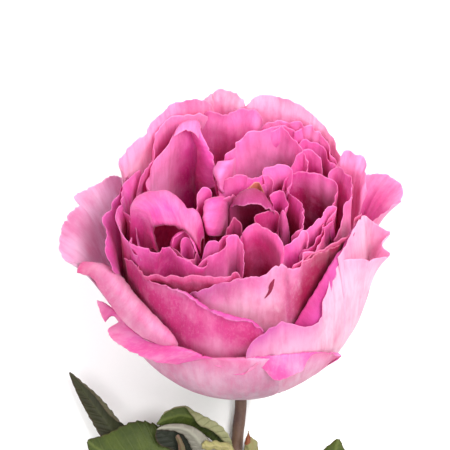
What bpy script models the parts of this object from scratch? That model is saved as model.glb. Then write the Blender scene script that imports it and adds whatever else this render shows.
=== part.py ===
"""A cut garden rose that lies on a table: petals, hip, sepals, stem and two compound leaves.

The flower is a deep cup whose petals crowd into several hearts. It rests on the back of the cup,
on the stem and on the leaves, and its open mouth looks up and towards +Y. The stem runs along -Y.
Each petal is a sheet bent round a whorl: its plan is an arc about that whorl's centre, drawn at the
widest height of the cup, and every height of the flower is that same plan drawn smaller or larger.
So petals that are apart in the plan are apart everywhere.
"""

import math

import bpy
from mathutils import Vector

# Driving dimensions of the flower, in millimetres
MM = 0.001
CUP_RADIUS = 41.5
RING_STEP = 2.2
CLAW_SHARE = 0.24
INNER_LIFT = 0.2
CLOSING = 0.05
CLAW_WIDTH = 0.42
OPEN_AT = 0.55
PETAL_THICKNESS = 0.35
SEAT_GAP = 0.3

# The flower's own axis leans this far from the vertical
TILT = math.radians(45)
ACROSS = Vector((1, 0, 0))
BEHIND = Vector((0, math.sin(TILT), -math.cos(TILT)))
AXIS = Vector((0, math.cos(TILT), math.sin(TILT)))
CLAW_FALL = math.asin(CLAW_SHARE)

# Rows and columns of the sheets: a petal's rows below and above its widest place
BOWL_ROWS = 4
WALL_ROWS = 3
LOW_ROWS = 6
LOW_RIM = 4.0
PETAL_COLUMNS = 6

# Hip and stem, in millimetres. The hip's top is a few steps of its radius, then it swells down to the stem.
HIP_RADIUS = 11.2
HIP_TAIL = -51.8
HIP_TOP_STEPS = (0.1, 0.4, 0.7, 1.0)
HIP_SIDE_STEPS = 7
HIP_ROUNDNESS = 0.8
HIP_SIDES = 20
STEM_RADIUS = 2.0
STEM_CUT_RADIUS = 2.3
STEM_SIDES = 10
STEM_POINTS = 34

# Styles at the bottom of the cup: (radius, height above their foot) in millimetres, top to bottom
STYLE_PROFILE = ((1.4, 9.5), (2.2, 8.0), (1.9, 6.5), (0.9, 5.0), (0.8, 0.0))
STYLE_SIDES = 12

# Sepals: the radius of the plan, and half widths and reach as angles of the bowl
SEPAL_AZIMUTHS = (18, 90, 162, 234, 306)
SEPAL_THICKNESS = 0.5
SEPAL_RADIUS = 44.0
SEPAL_HALF_WIDTH = math.radians(20)
SEPAL_TIP_HALF_WIDTH = 0.03
SEPAL_TAPER = 0.7
SEPAL_REACH = math.radians(36)
SEPAL_ROWS = 7

# Compound leaves, in millimetres, with the powers that give a blade its widest place and its fullness
RACHIS_RADIUS = 0.8
RACHIS_TIP_RADIUS = 0.45
RACHIS_SIDES = 8
RACHIS_POINTS = 13
LEAF_THICKNESS = 0.45
LEAF_ROWS = 8
BLADE_LOWNESS = 0.8
BLADE_FULLNESS = 0.9
STALK_HALF_WIDTH = 0.7
STALK_TAPER = 0.6

# Places across a sepal or a leaflet, from one edge to the other
SIDES = (-1, -0.5, 0, 0.5, 1)

# Edges sharper than this on a turned body stay sharp
SHARP_ANGLE = math.radians(50)

# Finishes of the pieces: linear red, green, blue, and roughness
PALE_PINK = (0.80, 0.36, 0.58, 0.6)
CLEAR_PINK = (0.78, 0.15, 0.42, 0.6)
DEEP_PINK = (0.55, 0.05, 0.22, 0.6)
LEAF_GREEN = (0.09, 0.13, 0.04, 0.5)
STEM_BROWN = (0.17, 0.09, 0.07, 0.65)
HIP_GREEN = (0.14, 0.19, 0.06, 0.6)
STAMEN_YELLOW = (0.45, 0.30, 0.08, 0.7)


def ring(number):
    """Radius in plan of one of the cup's rings, counted from the outside."""
    return CUP_RADIUS - RING_STEP * number


# Petals of the cup. Each one: ring, then (azimuth in degrees, rim height, lean outwards) at
# places along its rim, from one side to the other. Azimuth 0 is +X and 90 is the back of the cup.
CUP_PETALS = {
    "guard_left": (0, [(146, 14, 4), (156, 20, 9), (168, 23, 14), (181, 16, 16), (193, 10, 8)]),
    "guard_right": (0, [(40, 12, 2), (30, 19, 9), (21, 21, 12), (11, 20, 11), (1, 15, 2)]),
    "guard_back": (0, [(74, 32, 0), (84, 40, 0), (94, 42, 0), (104, 40, 0), (116, 30, 0)]),
    "lower_left": (0, [(205, -8, 2), (214, -6, 3), (227, -7, 4), (240, -2, 3), (254, 2, 1)]),
    "lower_front": (0, [(261, -4, 1), (275, -1, 3), (290, 2, 3), (304, 0, 3), (317, -9, 1)]),
    "outer_right": (1, [(287, 10, 0), (304, 24, 0), (325, 26, 4), (345, 22, 9), (358, 17, 4)]),
    "back_right": (1, [(38, 26, 0), (49, 36, 1), (60, 40, 1), (72, 41, 0), (86, 37, 0)]),
    "back_left": (1, [(94, 36, 0), (110, 41, 0), (124, 40, 0), (138, 37, 0), (154, 25, 0)]),
    "cup_left": (1, [(157, 22, 0), (166, 27, 0), (175, 27, 1), (183, 24, 1), (191, 18, 0)]),
    "rolled_left": (1, [(195, 10, 2), (206, 8, 3), (218, 6, 3), (230, 5, 3), (243, 3, 1)]),
    "front_left": (2, [(200, 14, 0), (216, 20, 0), (234, 23, 0), (254, 20, 0), (277, 12, 0)]),
    "front_right": (2, [(293, 12, 0), (306, 22, 0), (322, 28, 0), (341, 29, 1), (359, 24, 0)]),
    "upright_right": (2, [(5, 26, 0), (13, 36, 1), (21, 38, 2), (29, 36, 1), (38, 27, 0)]),
    "inner_back_right": (2, [(42, 26, 0), (53, 32, 0), (64, 35, 0), (75, 34, 0), (87, 28, 0)]),
    "inner_back_left": (2, [(95, 32, 0), (109, 39, 0), (123, 40, 0), (137, 37, 0), (151, 28, 0)]),
    "inner_left": (2, [(155, 24, 0), (165, 29, 0), (176, 29, 0), (186, 26, 0), (196, 20, 0)]),
    "crown_back": (3, [(68, 28, 0), (80, 36, 0), (91, 39, 0), (102, 38, 0), (113, 31, 0)]),
    "second_left": (3, [(152, 24, 0), (165, 28, 0), (178, 25, 0), (191, 23, 0), (204, 17, 0)]),
    "front_fold": (3, [(236, 17, 0), (252, 26, 0), (268, 31, 0), (284, 33, 0), (300, 26, 0)]),
    "second_right": (3, [(336, 26, 0), (350, 31, 0), (3, 32, 0), (16, 31, 0), (29, 25, 0)]),
    "second_front_right": (3, [(304, 26, 0), (311, 31, 0), (318, 33, 0), (325, 33, 0), (332, 27, 0)]),
    "third_left": (4, [(222, 20, 0), (233, 26, 0), (244, 29, 0), (254, 30, 0), (264, 25, 0)]),
    "third_front": (4, [(272, 26, 0), (283, 31, 0), (294, 32, 0), (306, 31, 0), (318, 25, 0)]),
}

# Petals that turn round a centre of their own. Each one: the centre in plan, the radius about it,
# then (azimuth about that centre, rim height) at places along the rim. They don't lean outwards.
HEART_PETALS = {
    "left_hood": ((-19.5, -6.0), 11.0, [(196, 28), (156, 33), (110, 35), (64, 33), (20, 27)]),
    "left_front": ((-18.5, -11.0), 10.0, [(206, 26), (234, 30), (262, 31), (290, 30), (322, 25)]),
    "left_bud_back": ((-18.0, -9.0), 5.6, [(170, 22), (132, 27), (95, 28), (58, 27), (20, 22)]),
    "left_bud_front": ((-18.0, -9.0), 5.6, [(186, 20), (226, 24), (268, 25), (310, 24), (350, 20)]),
    "left_heart": ((-18.0, -9.0), 2.4, [(60, 20), (115, 25), (180, 26), (245, 25), (300, 20)]),
    "tall_fold": ((-17.0, 19.5), 9.4, [(196, 24), (150, 31), (98, 34), (46, 31), (-6, 23)]),
    "middle_wall": ((-1.5, -0.5), 6.6, [(118, 24), (146, 28), (174, 30), (202, 29), (230, 24)]),
    "front_curl": ((-7.0, -23.0), 5.4, [(180, 24), (145, 28), (105, 30), (65, 29), (28, 25)]),
    "front_hood": ((8.0, -18.5), 7.4, [(176, 24), (136, 29), (92, 31), (48, 29), (6, 24)]),
    "back_hood": ((4.0, 13.0), 14.6, [(36, 26), (62, 33), (88, 35), (114, 33), (140, 27)]),
    "side_curl": ((4.0, 13.0), 12.2, [(146, 25), (158, 29), (170, 31), (182, 29), (194, 24)]),
    "right_ruffle": ((4.0, 11.0), 11.0, [(312, 23), (330, 27), (348, 29), (366, 28), (384, 24)]),
    "right_heart_back": ((3.5, 12.0), 7.6, [(12, 23), (52, 28), (94, 29), (136, 28), (176, 23)]),
    "right_heart_front": ((3.5, 12.0), 7.6, [(200, 20), (232, 24), (264, 26), (296, 25), (330, 21)]),
    "right_heart": ((3.5, 12.0), 3.4, [(-40, 20), (20, 25), (90, 26), (160, 25), (220, 20)]),
    "pocket_wall": ((22.0, -1.0), 8.8, [(20, 22), (52, 27), (86, 30), (120, 28), (154, 22)]),
}

# The stem's centre line, from the hip to the cut: +X, +Y, +Z from the middle of the cup
STEM_ROUTE = (
    (0.0, -36.95, -36.95),
    (-0.2, -40.4, -39.1),
    (-0.5, -45.5, -40.15),
    (-1.0, -54.0, -40.2),
    (-1.6, -66.0, -40.2),
    (-1.2, -90.0, -40.2),
    (0.4, -118.0, -40.1),
    (1.0, -146.0, -40.1),
    (0.0, -186.0, -40.0),
)

# Compound leaves. Each one: the rachis as points from the stem to its end, then its leaflets.
# A leaflet: share of the way along the rachis, tip, half width, arch upwards, fold at the midrib.
LEAVES = {
    "left_leaf": (
        ((-4.2, -63.0, -39.2), (-13.0, -73.5, -38.0), (-33.0, -83.0, -35.0), (-54.0, -88.0, -34.5)),
        (
            (0.25, (-50.0, -57.0, -31.0), 12.5, 6.0, 0.15),
            (0.42, (-22.0, -116.0, -41.7), 12.0, 6.0, 0.2),
            (0.42, (-56.0, -34.2, -37.5), 6.5, -1.5, 0.35),
            (0.76, (-49.0, -127.0, -41.7), 12.5, 6.0, 0.2),
            (1.00, (-98.0, -98.0, -41.7), 13.5, 7.0, 0.2),
        ),
    ),
    "right_leaf": (
        ((2.6, -112.0, -39.0), (16.0, -108.0, -33.0), (34.0, -104.0, -28.5), (52.0, -104.0, -31.5)),
        (
            (0.34, (22.0, -146.0, -41.7), 12.0, 6.0, 0.2),
            (0.50, (32.0, -56.0, -33.0), 11.0, 6.0, 0.3),
            (0.74, (47.0, -146.0, -41.7), 13.0, 6.0, 0.2),
            (0.84, (64.0, -66.0, -41.7), 12.5, 7.0, 0.2),
            (1.00, (94.0, -112.0, -41.7), 14.0, 7.0, 0.2),
        ),
    ),
}

# The single leaf under the flower: foot beside the stem, tip, half width, arch, fold
UPPER_LEAF = ((-3.9, -58.5, -38.6), (-26.0, -49.0, -22.0), 8.5, 6.0, 0.4)


def plain_material(name, finish):
    red, green, blue, roughness = finish
    material = bpy.data.materials.new(name)
    material.use_nodes = True
    shader = material.node_tree.nodes["Principled BSDF"]
    shader.inputs["Base Color"].default_value = (red, green, blue, 1)
    shader.inputs["Roughness"].default_value = roughness
    shader.inputs["Metallic"].default_value = 0
    return material


def smooth_value(places, values, place):
    """Value at a place on the smooth curve through the values, which stand at rising places."""
    last = len(places) - 1
    slopes = []
    for i in range(last + 1):
        before, after = max(i - 1, 0), min(i + 1, last)
        slopes.append((values[after] - values[before]) / (places[after] - places[before]))
    i = max(0, min(last - 1, sum(place >= p for p in places) - 1))
    span = places[i + 1] - places[i]
    t = (place - places[i]) / span
    return (
        values[i] * (1 + 2 * t) * (1 - t) ** 2
        + slopes[i] * span * t * (1 - t) ** 2
        + values[i + 1] * t * t * (3 - 2 * t)
        + slopes[i + 1] * span * t * t * (t - 1)
    )


def smooth_path(points, count):
    """That many points, evenly spread by index, on the smooth curve through the given points."""
    places = list(range(len(points)))
    path = []
    for i in range(count):
        place = i * places[-1] / (count - 1)
        path.append(Vector([smooth_value(places, [p[k] for p in points], place) for k in range(3)]))
    return path


def bowl_depth(plan_radius):
    """Depth of the bowl under its widest place: petals nearer the axis start higher on the hip."""
    return CUP_RADIUS - INNER_LIFT * (CUP_RADIUS - plan_radius)


def row_places(rim_height, low):
    """A petal's rows from the claw up, each as (fall, rise, share of the petal's length).

    The fall is the angle from the foot of the bowl, a right angle at the widest place, and the rise
    is the height above the widest place. A low petal ends near the widest place.
    """
    last = math.acos(-min(rim_height, 0) / CUP_RADIUS)
    bowl = CUP_RADIUS * (last - CLAW_FALL)
    wall = max(rim_height, 0)
    if low:
        reaches = [(bowl + wall) * r / LOW_ROWS for r in range(LOW_ROWS + 1)]
    else:
        reaches = [bowl * r / BOWL_ROWS for r in range(BOWL_ROWS + 1)]
        reaches += [bowl + wall * r / WALL_ROWS for r in range(1, WALL_ROWS + 1)]
    return [
        (CLAW_FALL + min(reach, bowl) / CUP_RADIUS, max(reach - bowl, 0), reach / (bowl + wall))
        for reach in reaches
    ]


def from_plan(across, behind, fall, rise):
    """A point of the plan, in millimetres, carried to this place of the flower's height."""
    size = math.sin(fall) * (1 - CLOSING * (rise / CUP_RADIUS) ** 2)
    height = rise - bowl_depth(math.hypot(across, behind)) * math.cos(fall)
    return in_flower(across * size, behind * size, height)


def in_flower(across, behind, height):
    """A point of the flower's own axes, in metres."""
    return (ACROSS * across + BEHIND * behind + AXIS * height) * MM


def sheet_object(name, rows, thickness, material):
    """A closed sheet of this thickness about a grid of points."""
    columns = len(rows[0])
    mesh = bpy.data.meshes.new(name)
    faces = [
        (r * columns + c, r * columns + c + 1, (r + 1) * columns + c + 1, (r + 1) * columns + c)
        for r in range(len(rows) - 1)
        for c in range(columns - 1)
    ]
    mesh.from_pydata([p for row in rows for p in row], [], faces)
    mesh.shade_smooth()
    mesh.materials.append(material)
    sheet = bpy.data.objects.new(name, mesh)
    bpy.context.collection.objects.link(sheet)
    solid = sheet.modifiers.new("Thickness", "SOLIDIFY")
    solid.thickness = thickness * MM
    solid.offset = 0
    return sheet


def make_petal(name, centre, radius, stations, material):
    """A petal on its whorl: it widens from a narrow claw and leans out near the rim."""
    azimuths = unwrapped([s[0] for s in stations])
    places = [i / (len(stations) - 1) for i in range(len(stations))]
    middle = (azimuths[0] + azimuths[-1]) / 2
    low = max(s[1] for s in stations) < LOW_RIM
    columns = []
    for c in range(PETAL_COLUMNS):
        place = c / (PETAL_COLUMNS - 1)
        rim_height = smooth_value(places, [s[1] for s in stations], place)
        rim_lean = smooth_value(places, [s[2] for s in stations], place)
        azimuth = smooth_value(places, azimuths, place)
        column = []
        for fall, rise, share in row_places(rim_height, low):
            opening = min(1, share / OPEN_AT)
            narrowing = CLAW_WIDTH + (1 - CLAW_WIDTH) * opening * opening * (3 - 2 * opening)
            angle = math.radians(middle + (azimuth - middle) * narrowing)
            across = centre[0] + radius * math.cos(angle)
            behind = centre[1] + radius * math.sin(angle)
            lean = in_flower(math.cos(angle), math.sin(angle), 0) * rim_lean * share**3
            column.append(from_plan(across, behind, fall, rise) + lean)
        columns.append(column)
    return sheet_object(name, list(zip(*columns)), PETAL_THICKNESS, material)


def unwrapped(azimuths):
    """The same azimuths without a jump of a full turn between neighbours."""
    turned = [azimuths[0]]
    for azimuth in azimuths[1:]:
        turned.append(turned[-1] + (azimuth - turned[-1] + 180) % 360 - 180)
    return turned


def make_sepal(number, azimuth, material):
    """A pointed sepal that lies against the back of the cup."""
    rows = []
    for r in range(SEPAL_ROWS):
        share = r / (SEPAL_ROWS - 1)
        fall = CLAW_FALL + (SEPAL_REACH - CLAW_FALL) * share
        half_width = SEPAL_HALF_WIDTH * (1 - share) ** SEPAL_TAPER + SEPAL_TIP_HALF_WIDTH
        row = []
        for side in SIDES:
            angle = math.radians(azimuth) + side * half_width
            across = SEPAL_RADIUS * math.cos(angle)
            behind = SEPAL_RADIUS * math.sin(angle)
            row.append(from_plan(across, behind, fall, 0))
        rows.append(row)
    return sheet_object(f"sepal_{number}", rows, SEPAL_THICKNESS, material)


def turned_object(name, profile, sides, material):
    """A closed body turned about the flower's axis from (radius, height) points, top to bottom."""
    points = [in_flower(0, 0, profile[0][1])]
    for radius, height in profile:
        for s in range(sides):
            angle = 2 * math.pi * s / sides
            points.append(in_flower(radius * math.cos(angle), radius * math.sin(angle), height))
    points.append(in_flower(0, 0, profile[-1][1]))
    faces = []
    for s in range(sides):
        after = (s + 1) % sides
        faces.append((0, 1 + s, 1 + after))
        for level in range(len(profile) - 1):
            top = 1 + level * sides
            faces.append((top + s, top + sides + s, top + sides + after, top + after))
        bottom = 1 + (len(profile) - 1) * sides
        faces.append((bottom + after, bottom + s, len(points) - 1))
    mesh = bpy.data.meshes.new(name)
    mesh.from_pydata(points, [], faces)
    mesh.shade_smooth()
    mesh.set_sharp_from_angle(angle=SHARP_ANGLE)
    mesh.materials.append(material)
    body = bpy.data.objects.new(name, mesh)
    bpy.context.collection.objects.link(body)
    return body


def tube_object(name, points, radii, sides, material):
    """A round stalk through points in metres, with radii in millimetres, closed at both ends."""
    curve = bpy.data.curves.new(name, "CURVE")
    curve.dimensions = "3D"
    curve.bevel_depth = MM
    curve.bevel_resolution = (sides - 4) // 2
    curve.use_fill_caps = True
    curve.materials.append(material)
    spline = curve.splines.new("POLY")
    spline.points.add(len(points) - 1)
    spline.use_smooth = True
    for point, place, radius in zip(spline.points, points, radii):
        point.co = (*place, 1)
        point.radius = radius
    stalk = bpy.data.objects.new(name, curve)
    bpy.context.collection.objects.link(stalk)
    return stalk


def make_leaflet(name, start, tip, half_width, arch, fold, material):
    """A blade that leaves the rachis on a short stalk, arches up, and is folded at its midrib."""
    along = tip - start
    sideways = along.cross(Vector((0, 0, 1))).normalized()
    upwards = sideways.cross(along).normalized()
    rows = []
    for r in range(LEAF_ROWS):
        share = r / (LEAF_ROWS - 1)
        middle = start + along * share + upwards * arch * MM * math.sin(math.pi * share)
        swell = max(math.sin(math.pi * share**BLADE_LOWNESS), 0) ** BLADE_FULLNESS
        width = (half_width * swell + STALK_HALF_WIDTH * (1 - STALK_TAPER * share)) * MM
        row = []
        for side in SIDES:
            lift = fold * abs(side)
            outwards = side * math.sqrt(1 - lift**2)
            row.append(middle + (sideways * outwards + upwards * lift * abs(side)) * width)
        rows.append(row)
    return sheet_object(name, rows, LEAF_THICKNESS, material)


def tapered(first, last, count):
    """That many values from the first to the last, evenly spaced."""
    return [first + (last - first) * i / (count - 1) for i in range(count)]


def make_leaf(name, route, leaflets, stalk_material, blade_material):
    """A rachis with its leaflets. The last one starts just off its end, the others just off its side."""
    points = [p * MM for p in smooth_path(route, RACHIS_POINTS)]
    radii = tapered(RACHIS_RADIUS, RACHIS_TIP_RADIUS, RACHIS_POINTS)
    tube_object(name + "_rachis", points, radii, RACHIS_SIDES, stalk_material)
    for number, (share, tip, half_width, arch, fold) in enumerate(leaflets, 1):
        place = points[round(share * (RACHIS_POINTS - 1))]
        tip = Vector(tip) * MM
        clear = SEAT_GAP + LEAF_THICKNESS / 2
        if share < 1:
            clear += RACHIS_RADIUS
        start = place + (tip - place).normalized() * clear * MM
        make_leaflet(f"{name}_leaflet_{number}", start, tip, half_width, arch, fold, blade_material)


def make_flower():
    pale = plain_material("petal_pale", PALE_PINK)
    clear = plain_material("petal_clear", CLEAR_PINK)
    deep = plain_material("petal_deep", DEEP_PINK)
    for name, (number, stations) in CUP_PETALS.items():
        material = pale if number < 2 else clear
        make_petal("petal_" + name, (0, 0), ring(number), stations, material)
    for name, (centre, radius, places) in HEART_PETALS.items():
        stations = [(azimuth, height, 0) for azimuth, height in places]
        make_petal("petal_" + name, centre, radius, stations, deep)


def seat_height(plan_radius):
    """Height of the hip's top under a claw that starts at this radius of the plan."""
    return -bowl_depth(plan_radius) * math.cos(CLAW_FALL) - SEAT_GAP - SEPAL_THICKNESS / 2


def make_base():
    green = plain_material("hip_green", HIP_GREEN)
    edge = seat_height(HIP_RADIUS / CLAW_SHARE)
    radii = [HIP_RADIUS * share for share in HIP_TOP_STEPS]
    profile = [(radius, seat_height(radius / CLAW_SHARE)) for radius in radii]
    for step in range(1, HIP_SIDE_STEPS + 1):
        share = step / HIP_SIDE_STEPS
        swell = (HIP_RADIUS - STEM_RADIUS) * math.cos(share * math.pi / 2) ** HIP_ROUNDNESS
        profile.append((STEM_RADIUS + swell, edge + (HIP_TAIL - edge) * share))
    turned_object("hip", profile, HIP_SIDES, green)
    for number, azimuth in enumerate(SEPAL_AZIMUTHS, 1):
        make_sepal(number, azimuth, green)


def make_pistil():
    """The short column of styles at the bottom of the cup, under the heart petals."""
    yellow = plain_material("stamen_yellow", STAMEN_YELLOW)
    foot = seat_height(0) + SEAT_GAP
    profile = [(radius, foot + height) for radius, height in STYLE_PROFILE]
    turned_object("pistil", profile, STYLE_SIDES, yellow)


def make_stem():
    brown = plain_material("stem_brown", STEM_BROWN)
    points = [p * MM for p in smooth_path(STEM_ROUTE, STEM_POINTS)]
    radii = tapered(STEM_RADIUS, STEM_CUT_RADIUS, STEM_POINTS)
    tube_object("stem", points, radii, STEM_SIDES, brown)


def make_leaves():
    brown = plain_material("stalk_brown", STEM_BROWN)
    green = plain_material("leaf_green", LEAF_GREEN)
    for name, (route, leaflets) in LEAVES.items():
        make_leaf(name, route, leaflets, brown, green)
    foot, tip, half_width, arch, fold = UPPER_LEAF
    make_leaflet("upper_leaf", Vector(foot) * MM, Vector(tip) * MM, half_width, arch, fold, green)


def settle_on_table():
    """Moves every piece alike, so that the origin is under the middle of the rose, on the table."""
    bpy.context.view_layer.update()
    graph = bpy.context.evaluated_depsgraph_get()
    corners = []
    for piece in bpy.data.objects:
        evaluated = piece.evaluated_get(graph)
        mesh = evaluated.to_mesh()
        corners += [evaluated.matrix_world @ v.co for v in mesh.vertices]
        evaluated.to_mesh_clear()
    low = Vector([min(p[axis] for p in corners) for axis in range(3)])
    high = Vector([max(p[axis] for p in corners) for axis in range(3)])
    shift = Vector(((low.x + high.x) / 2, (low.y + high.y) / 2, low.z))
    for piece in bpy.data.objects:
        piece.location -= shift
    bpy.context.view_layer.update()


def main():
    for old in list(bpy.data.objects):
        bpy.data.objects.remove(old, do_unlink=True)
    make_flower()
    make_base()
    make_pistil()
    make_stem()
    make_leaves()
    settle_on_table()


main()
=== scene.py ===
"""The look of the rose: its petals, sepals, leaves and stem in full detail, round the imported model."""
import math

import bpy
import numpy as np
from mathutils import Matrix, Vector
from mathutils.bvhtree import BVHTree


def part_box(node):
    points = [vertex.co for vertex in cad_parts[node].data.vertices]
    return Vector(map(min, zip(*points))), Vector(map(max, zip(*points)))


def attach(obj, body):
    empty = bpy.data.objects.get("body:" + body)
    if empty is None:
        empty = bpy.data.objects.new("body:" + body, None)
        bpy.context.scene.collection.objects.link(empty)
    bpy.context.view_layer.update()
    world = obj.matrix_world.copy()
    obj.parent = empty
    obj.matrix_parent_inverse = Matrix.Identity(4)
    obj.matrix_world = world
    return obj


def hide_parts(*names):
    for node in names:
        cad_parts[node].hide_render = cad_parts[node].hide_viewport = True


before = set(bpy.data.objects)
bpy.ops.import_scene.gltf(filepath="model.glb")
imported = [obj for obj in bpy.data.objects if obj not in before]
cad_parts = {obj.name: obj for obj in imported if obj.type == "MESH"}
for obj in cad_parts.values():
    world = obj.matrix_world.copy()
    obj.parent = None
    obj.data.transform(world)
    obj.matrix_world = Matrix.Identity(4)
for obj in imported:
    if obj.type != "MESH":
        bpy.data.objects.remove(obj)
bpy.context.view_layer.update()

# The flower's own axes and sizes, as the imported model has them, in millimetres
MM = 0.001
HIP_TO_CUP = 30.574
CUP_RADIUS = 41.5
RING_STEP = 2.2
CLAW_FALL = math.asin(0.24)
INNER_LIFT = 0.2
CLOSING = 0.05
LEAN = math.sqrt(0.5)

# The photograph: millimetres a pixel, middle of the picture, and the camera over the cup
PIXEL = 0.32
PICTURE = 450
HALF = PICTURE / 2
CAMERA_RISE = 1200.0
CAMERA_ACROSS = -4.8
CAMERA_UP = 14.4
SENSOR = 36.0

hip_low, hip_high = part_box("hip")
CUP = np.array((hip_low + hip_high) / 2) / MM + (0, HIP_TO_CUP, HIP_TO_CUP)


def ring(number):
    return CUP_RADIUS - RING_STEP * number


def spot(px, py, rise):
    """Flower point (across, behind, height) that shows at this pixel and stands this high."""
    drop = (py - HALF) * PIXEL
    up = (CAMERA_UP - drop * (CAMERA_RISE - 2 * rise * LEAN) / CAMERA_RISE) / (1 + drop / CAMERA_RISE)
    near = 2 * rise * LEAN - up
    across = CAMERA_ACROSS + (px - HALF) * PIXEL * (CAMERA_RISE - near) / CAMERA_RISE
    return (across, up / LEAN - rise, rise)


def to_world(points):
    """Flower points in millimetres to the shared frame in metres."""
    points = np.asarray(points, float)
    across, behind, height = points[..., 0], points[..., 1], points[..., 2]
    world = np.stack([across, (behind + height) * LEAN, (height - behind) * LEAN], -1)
    return (world + CUP) * MM


def spline_at(places, values, at):
    """Smooth curve through the values at rising places, read at other places."""
    places, values = np.asarray(places, float), np.asarray(values, float)
    if values.ndim == 1:
        return spline_at(places, values[:, None], at)[:, 0]
    gaps = np.diff(places)
    steps = np.diff(values, axis=0) / gaps[:, None]
    slopes = np.empty_like(values)
    slopes[0], slopes[-1] = steps[0], steps[-1]
    if len(gaps) > 1:
        weight = (gaps[1:] / (gaps[:-1] + gaps[1:]))[:, None]
        slopes[1:-1] = steps[:-1] * weight + steps[1:] * (1 - weight)
    i = np.clip(np.searchsorted(places, at, side="right") - 1, 0, len(gaps) - 1)
    t = ((at - places[i]) / gaps[i])[:, None]
    span = gaps[i][:, None]
    return (
        values[i] * (1 + 2 * t) * (1 - t) ** 2
        + slopes[i] * span * t * (1 - t) ** 2
        + values[i + 1] * t * t * (3 - 2 * t)
        + slopes[i + 1] * span * t * t * (t - 1)
    )


def line_places(points, count):
    """Where count evenly spaced places lie on the smooth curve through the points."""
    points = np.asarray(points, float)
    marks = np.concatenate([[0], np.cumsum(np.linalg.norm(np.diff(points, axis=0), axis=1) ** 0.5)])
    fine = np.linspace(0, marks[-1], 400)
    curve = spline_at(marks, points, fine)
    run = np.concatenate([[0], np.cumsum(np.linalg.norm(np.diff(curve, axis=0), axis=1))])
    return marks, np.interp(np.linspace(0, run[-1], count), run, fine), run[-1]


def from_plan(plan, fall, rise):
    size = np.sin(fall) * (1 - CLOSING * (rise / CUP_RADIUS) ** 2)
    depth = CUP_RADIUS - INNER_LIFT * (CUP_RADIUS - np.linalg.norm(plan, axis=-1))
    return np.concatenate([plan * size[..., None], (rise - depth * np.cos(fall))[..., None]], -1)


def waves(seed, across, along, count, turns):
    """Smooth uneven seeded noise of about unit size from a few sine waves."""
    rng = np.random.default_rng(seed)
    bent = across + 0.16 / turns * np.sin(2 * np.pi * (turns * 0.37 * across + rng.uniform()))
    total = 0
    for _ in range(count):
        pitch = turns * rng.uniform(0.3, 1.7)
        slant = rng.uniform(-1.2, 1.2)
        total = total + np.sin(2 * np.pi * (pitch * bent + slant * along + rng.uniform()))
    swing = 0.65 + 0.5 * np.sin(2 * np.pi * (turns * 0.29 * across + rng.uniform()))
    return total * swing / math.sqrt(count)


def smooth_step(low, high, value):
    t = np.clip((value - low) / (high - low), 0, 1)
    return t * t * (3 - 2 * t)


def spread(values, count):
    values = np.atleast_1d(np.asarray(values, float))
    if len(values) == 1:
        return np.full(count, values[0])
    return np.interp(np.linspace(0, 1, count), np.linspace(0, 1, len(values)), values)


def moved(rim, *steps):
    """The rim's points moved by (pixels across, pixels down, rise), blended from its first end to its last."""
    shifts = np.asarray(steps, float)
    at = np.linspace(0, 1, len(rim))
    known = np.linspace(0, 1, len(shifts)) if len(shifts) > 1 else np.array([0, 1])
    if len(shifts) == 1:
        shifts = np.repeat(shifts, 2, axis=0)
    return [tuple(np.array(p) + [np.interp(t, known, shifts[:, k]) for k in range(3)]) for p, t in zip(rim, at)]


def petal_sheet(rim_points, plan_ring, lips, columns, claw, opening, lean_power):
    """Control grid of a petal: rows from claw to lip, columns across it, in flower points."""
    marks, places, _ = line_places(rim_points, columns)
    top = spline_at(marks, rim_points, places)
    lip_lines = []
    for lip in lips:
        lip_lines.append(spline_at(marks, [spot(*p) for p in lip], places))
    height = top[:, 2]
    wall = np.maximum(height, 0)
    size_at_rim = 1 - CLOSING * (wall / CUP_RADIUS) ** 2
    if plan_ring is None:
        plan = top[:, :2] / size_at_rim[:, None]
    else:
        angle = np.unwrap(np.arctan2(top[:, 1], top[:, 0]))
        plan = plan_ring * np.stack([np.cos(angle), np.sin(angle)], -1)
    last = np.arccos(np.clip(-np.minimum(height, 0) / CUP_RADIUS, -1, 1))
    bowl = CUP_RADIUS * (last - CLAW_FALL)
    side = np.linspace(0, 1, columns)
    rows = []
    for share in np.linspace(0, 1, 15):
        reach = (bowl + wall) * share
        narrowing = claw + (1 - claw) * smooth_step(0, opening, share)
        inner = 0.5 + (side - 0.5) * narrowing
        at = np.stack([np.interp(inner, side, plan[:, k]) for k in (0, 1)], -1)
        fall = CLAW_FALL + np.minimum(reach, bowl) / CUP_RADIUS
        rows.append(from_plan(at, fall, np.maximum(reach - bowl, 0)))
    miss = top - rows[-1]
    rows = [row + miss * (i / 14) ** lean_power for i, row in enumerate(rows)]
    return np.array(rows + lip_lines)


def turn_of(points):
    """1 where the line runs round counter-clockwise, seen from over the flower, and -1 where clockwise."""
    across, behind = np.asarray(points, float)[:, :2].T
    area = np.sum(across * np.roll(behind, -1) - behind * np.roll(across, -1))
    return 1 if area > 0 else -1


def ragged(seed, side, width, frill):
    """How much sooner than the drawn line each column of a petal ends, in millimetres."""
    slow = 0.5 + 0.5 * waves(seed + 11, side, 0 * side, 5, width / 8)
    quick = 0.5 + 0.5 * waves(seed + 12, side, 0 * side, 6, width / 2.4)
    teeth = np.abs(waves(seed + 14, side, 0 * side, 4, width / 4.5))
    cut = slow + 0.5 * quick + 0.8 * teeth
    rng = np.random.default_rng(seed + 13)
    for _ in range(int(width / 9)):
        place, depth, half = rng.uniform(0, 1), rng.uniform(0.5, 2.2), rng.uniform(0.35, 0.9) / width
        cut = cut + depth * np.exp(-(((side - place) / half) ** 2))
    return frill * np.maximum(cut, 0)


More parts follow.
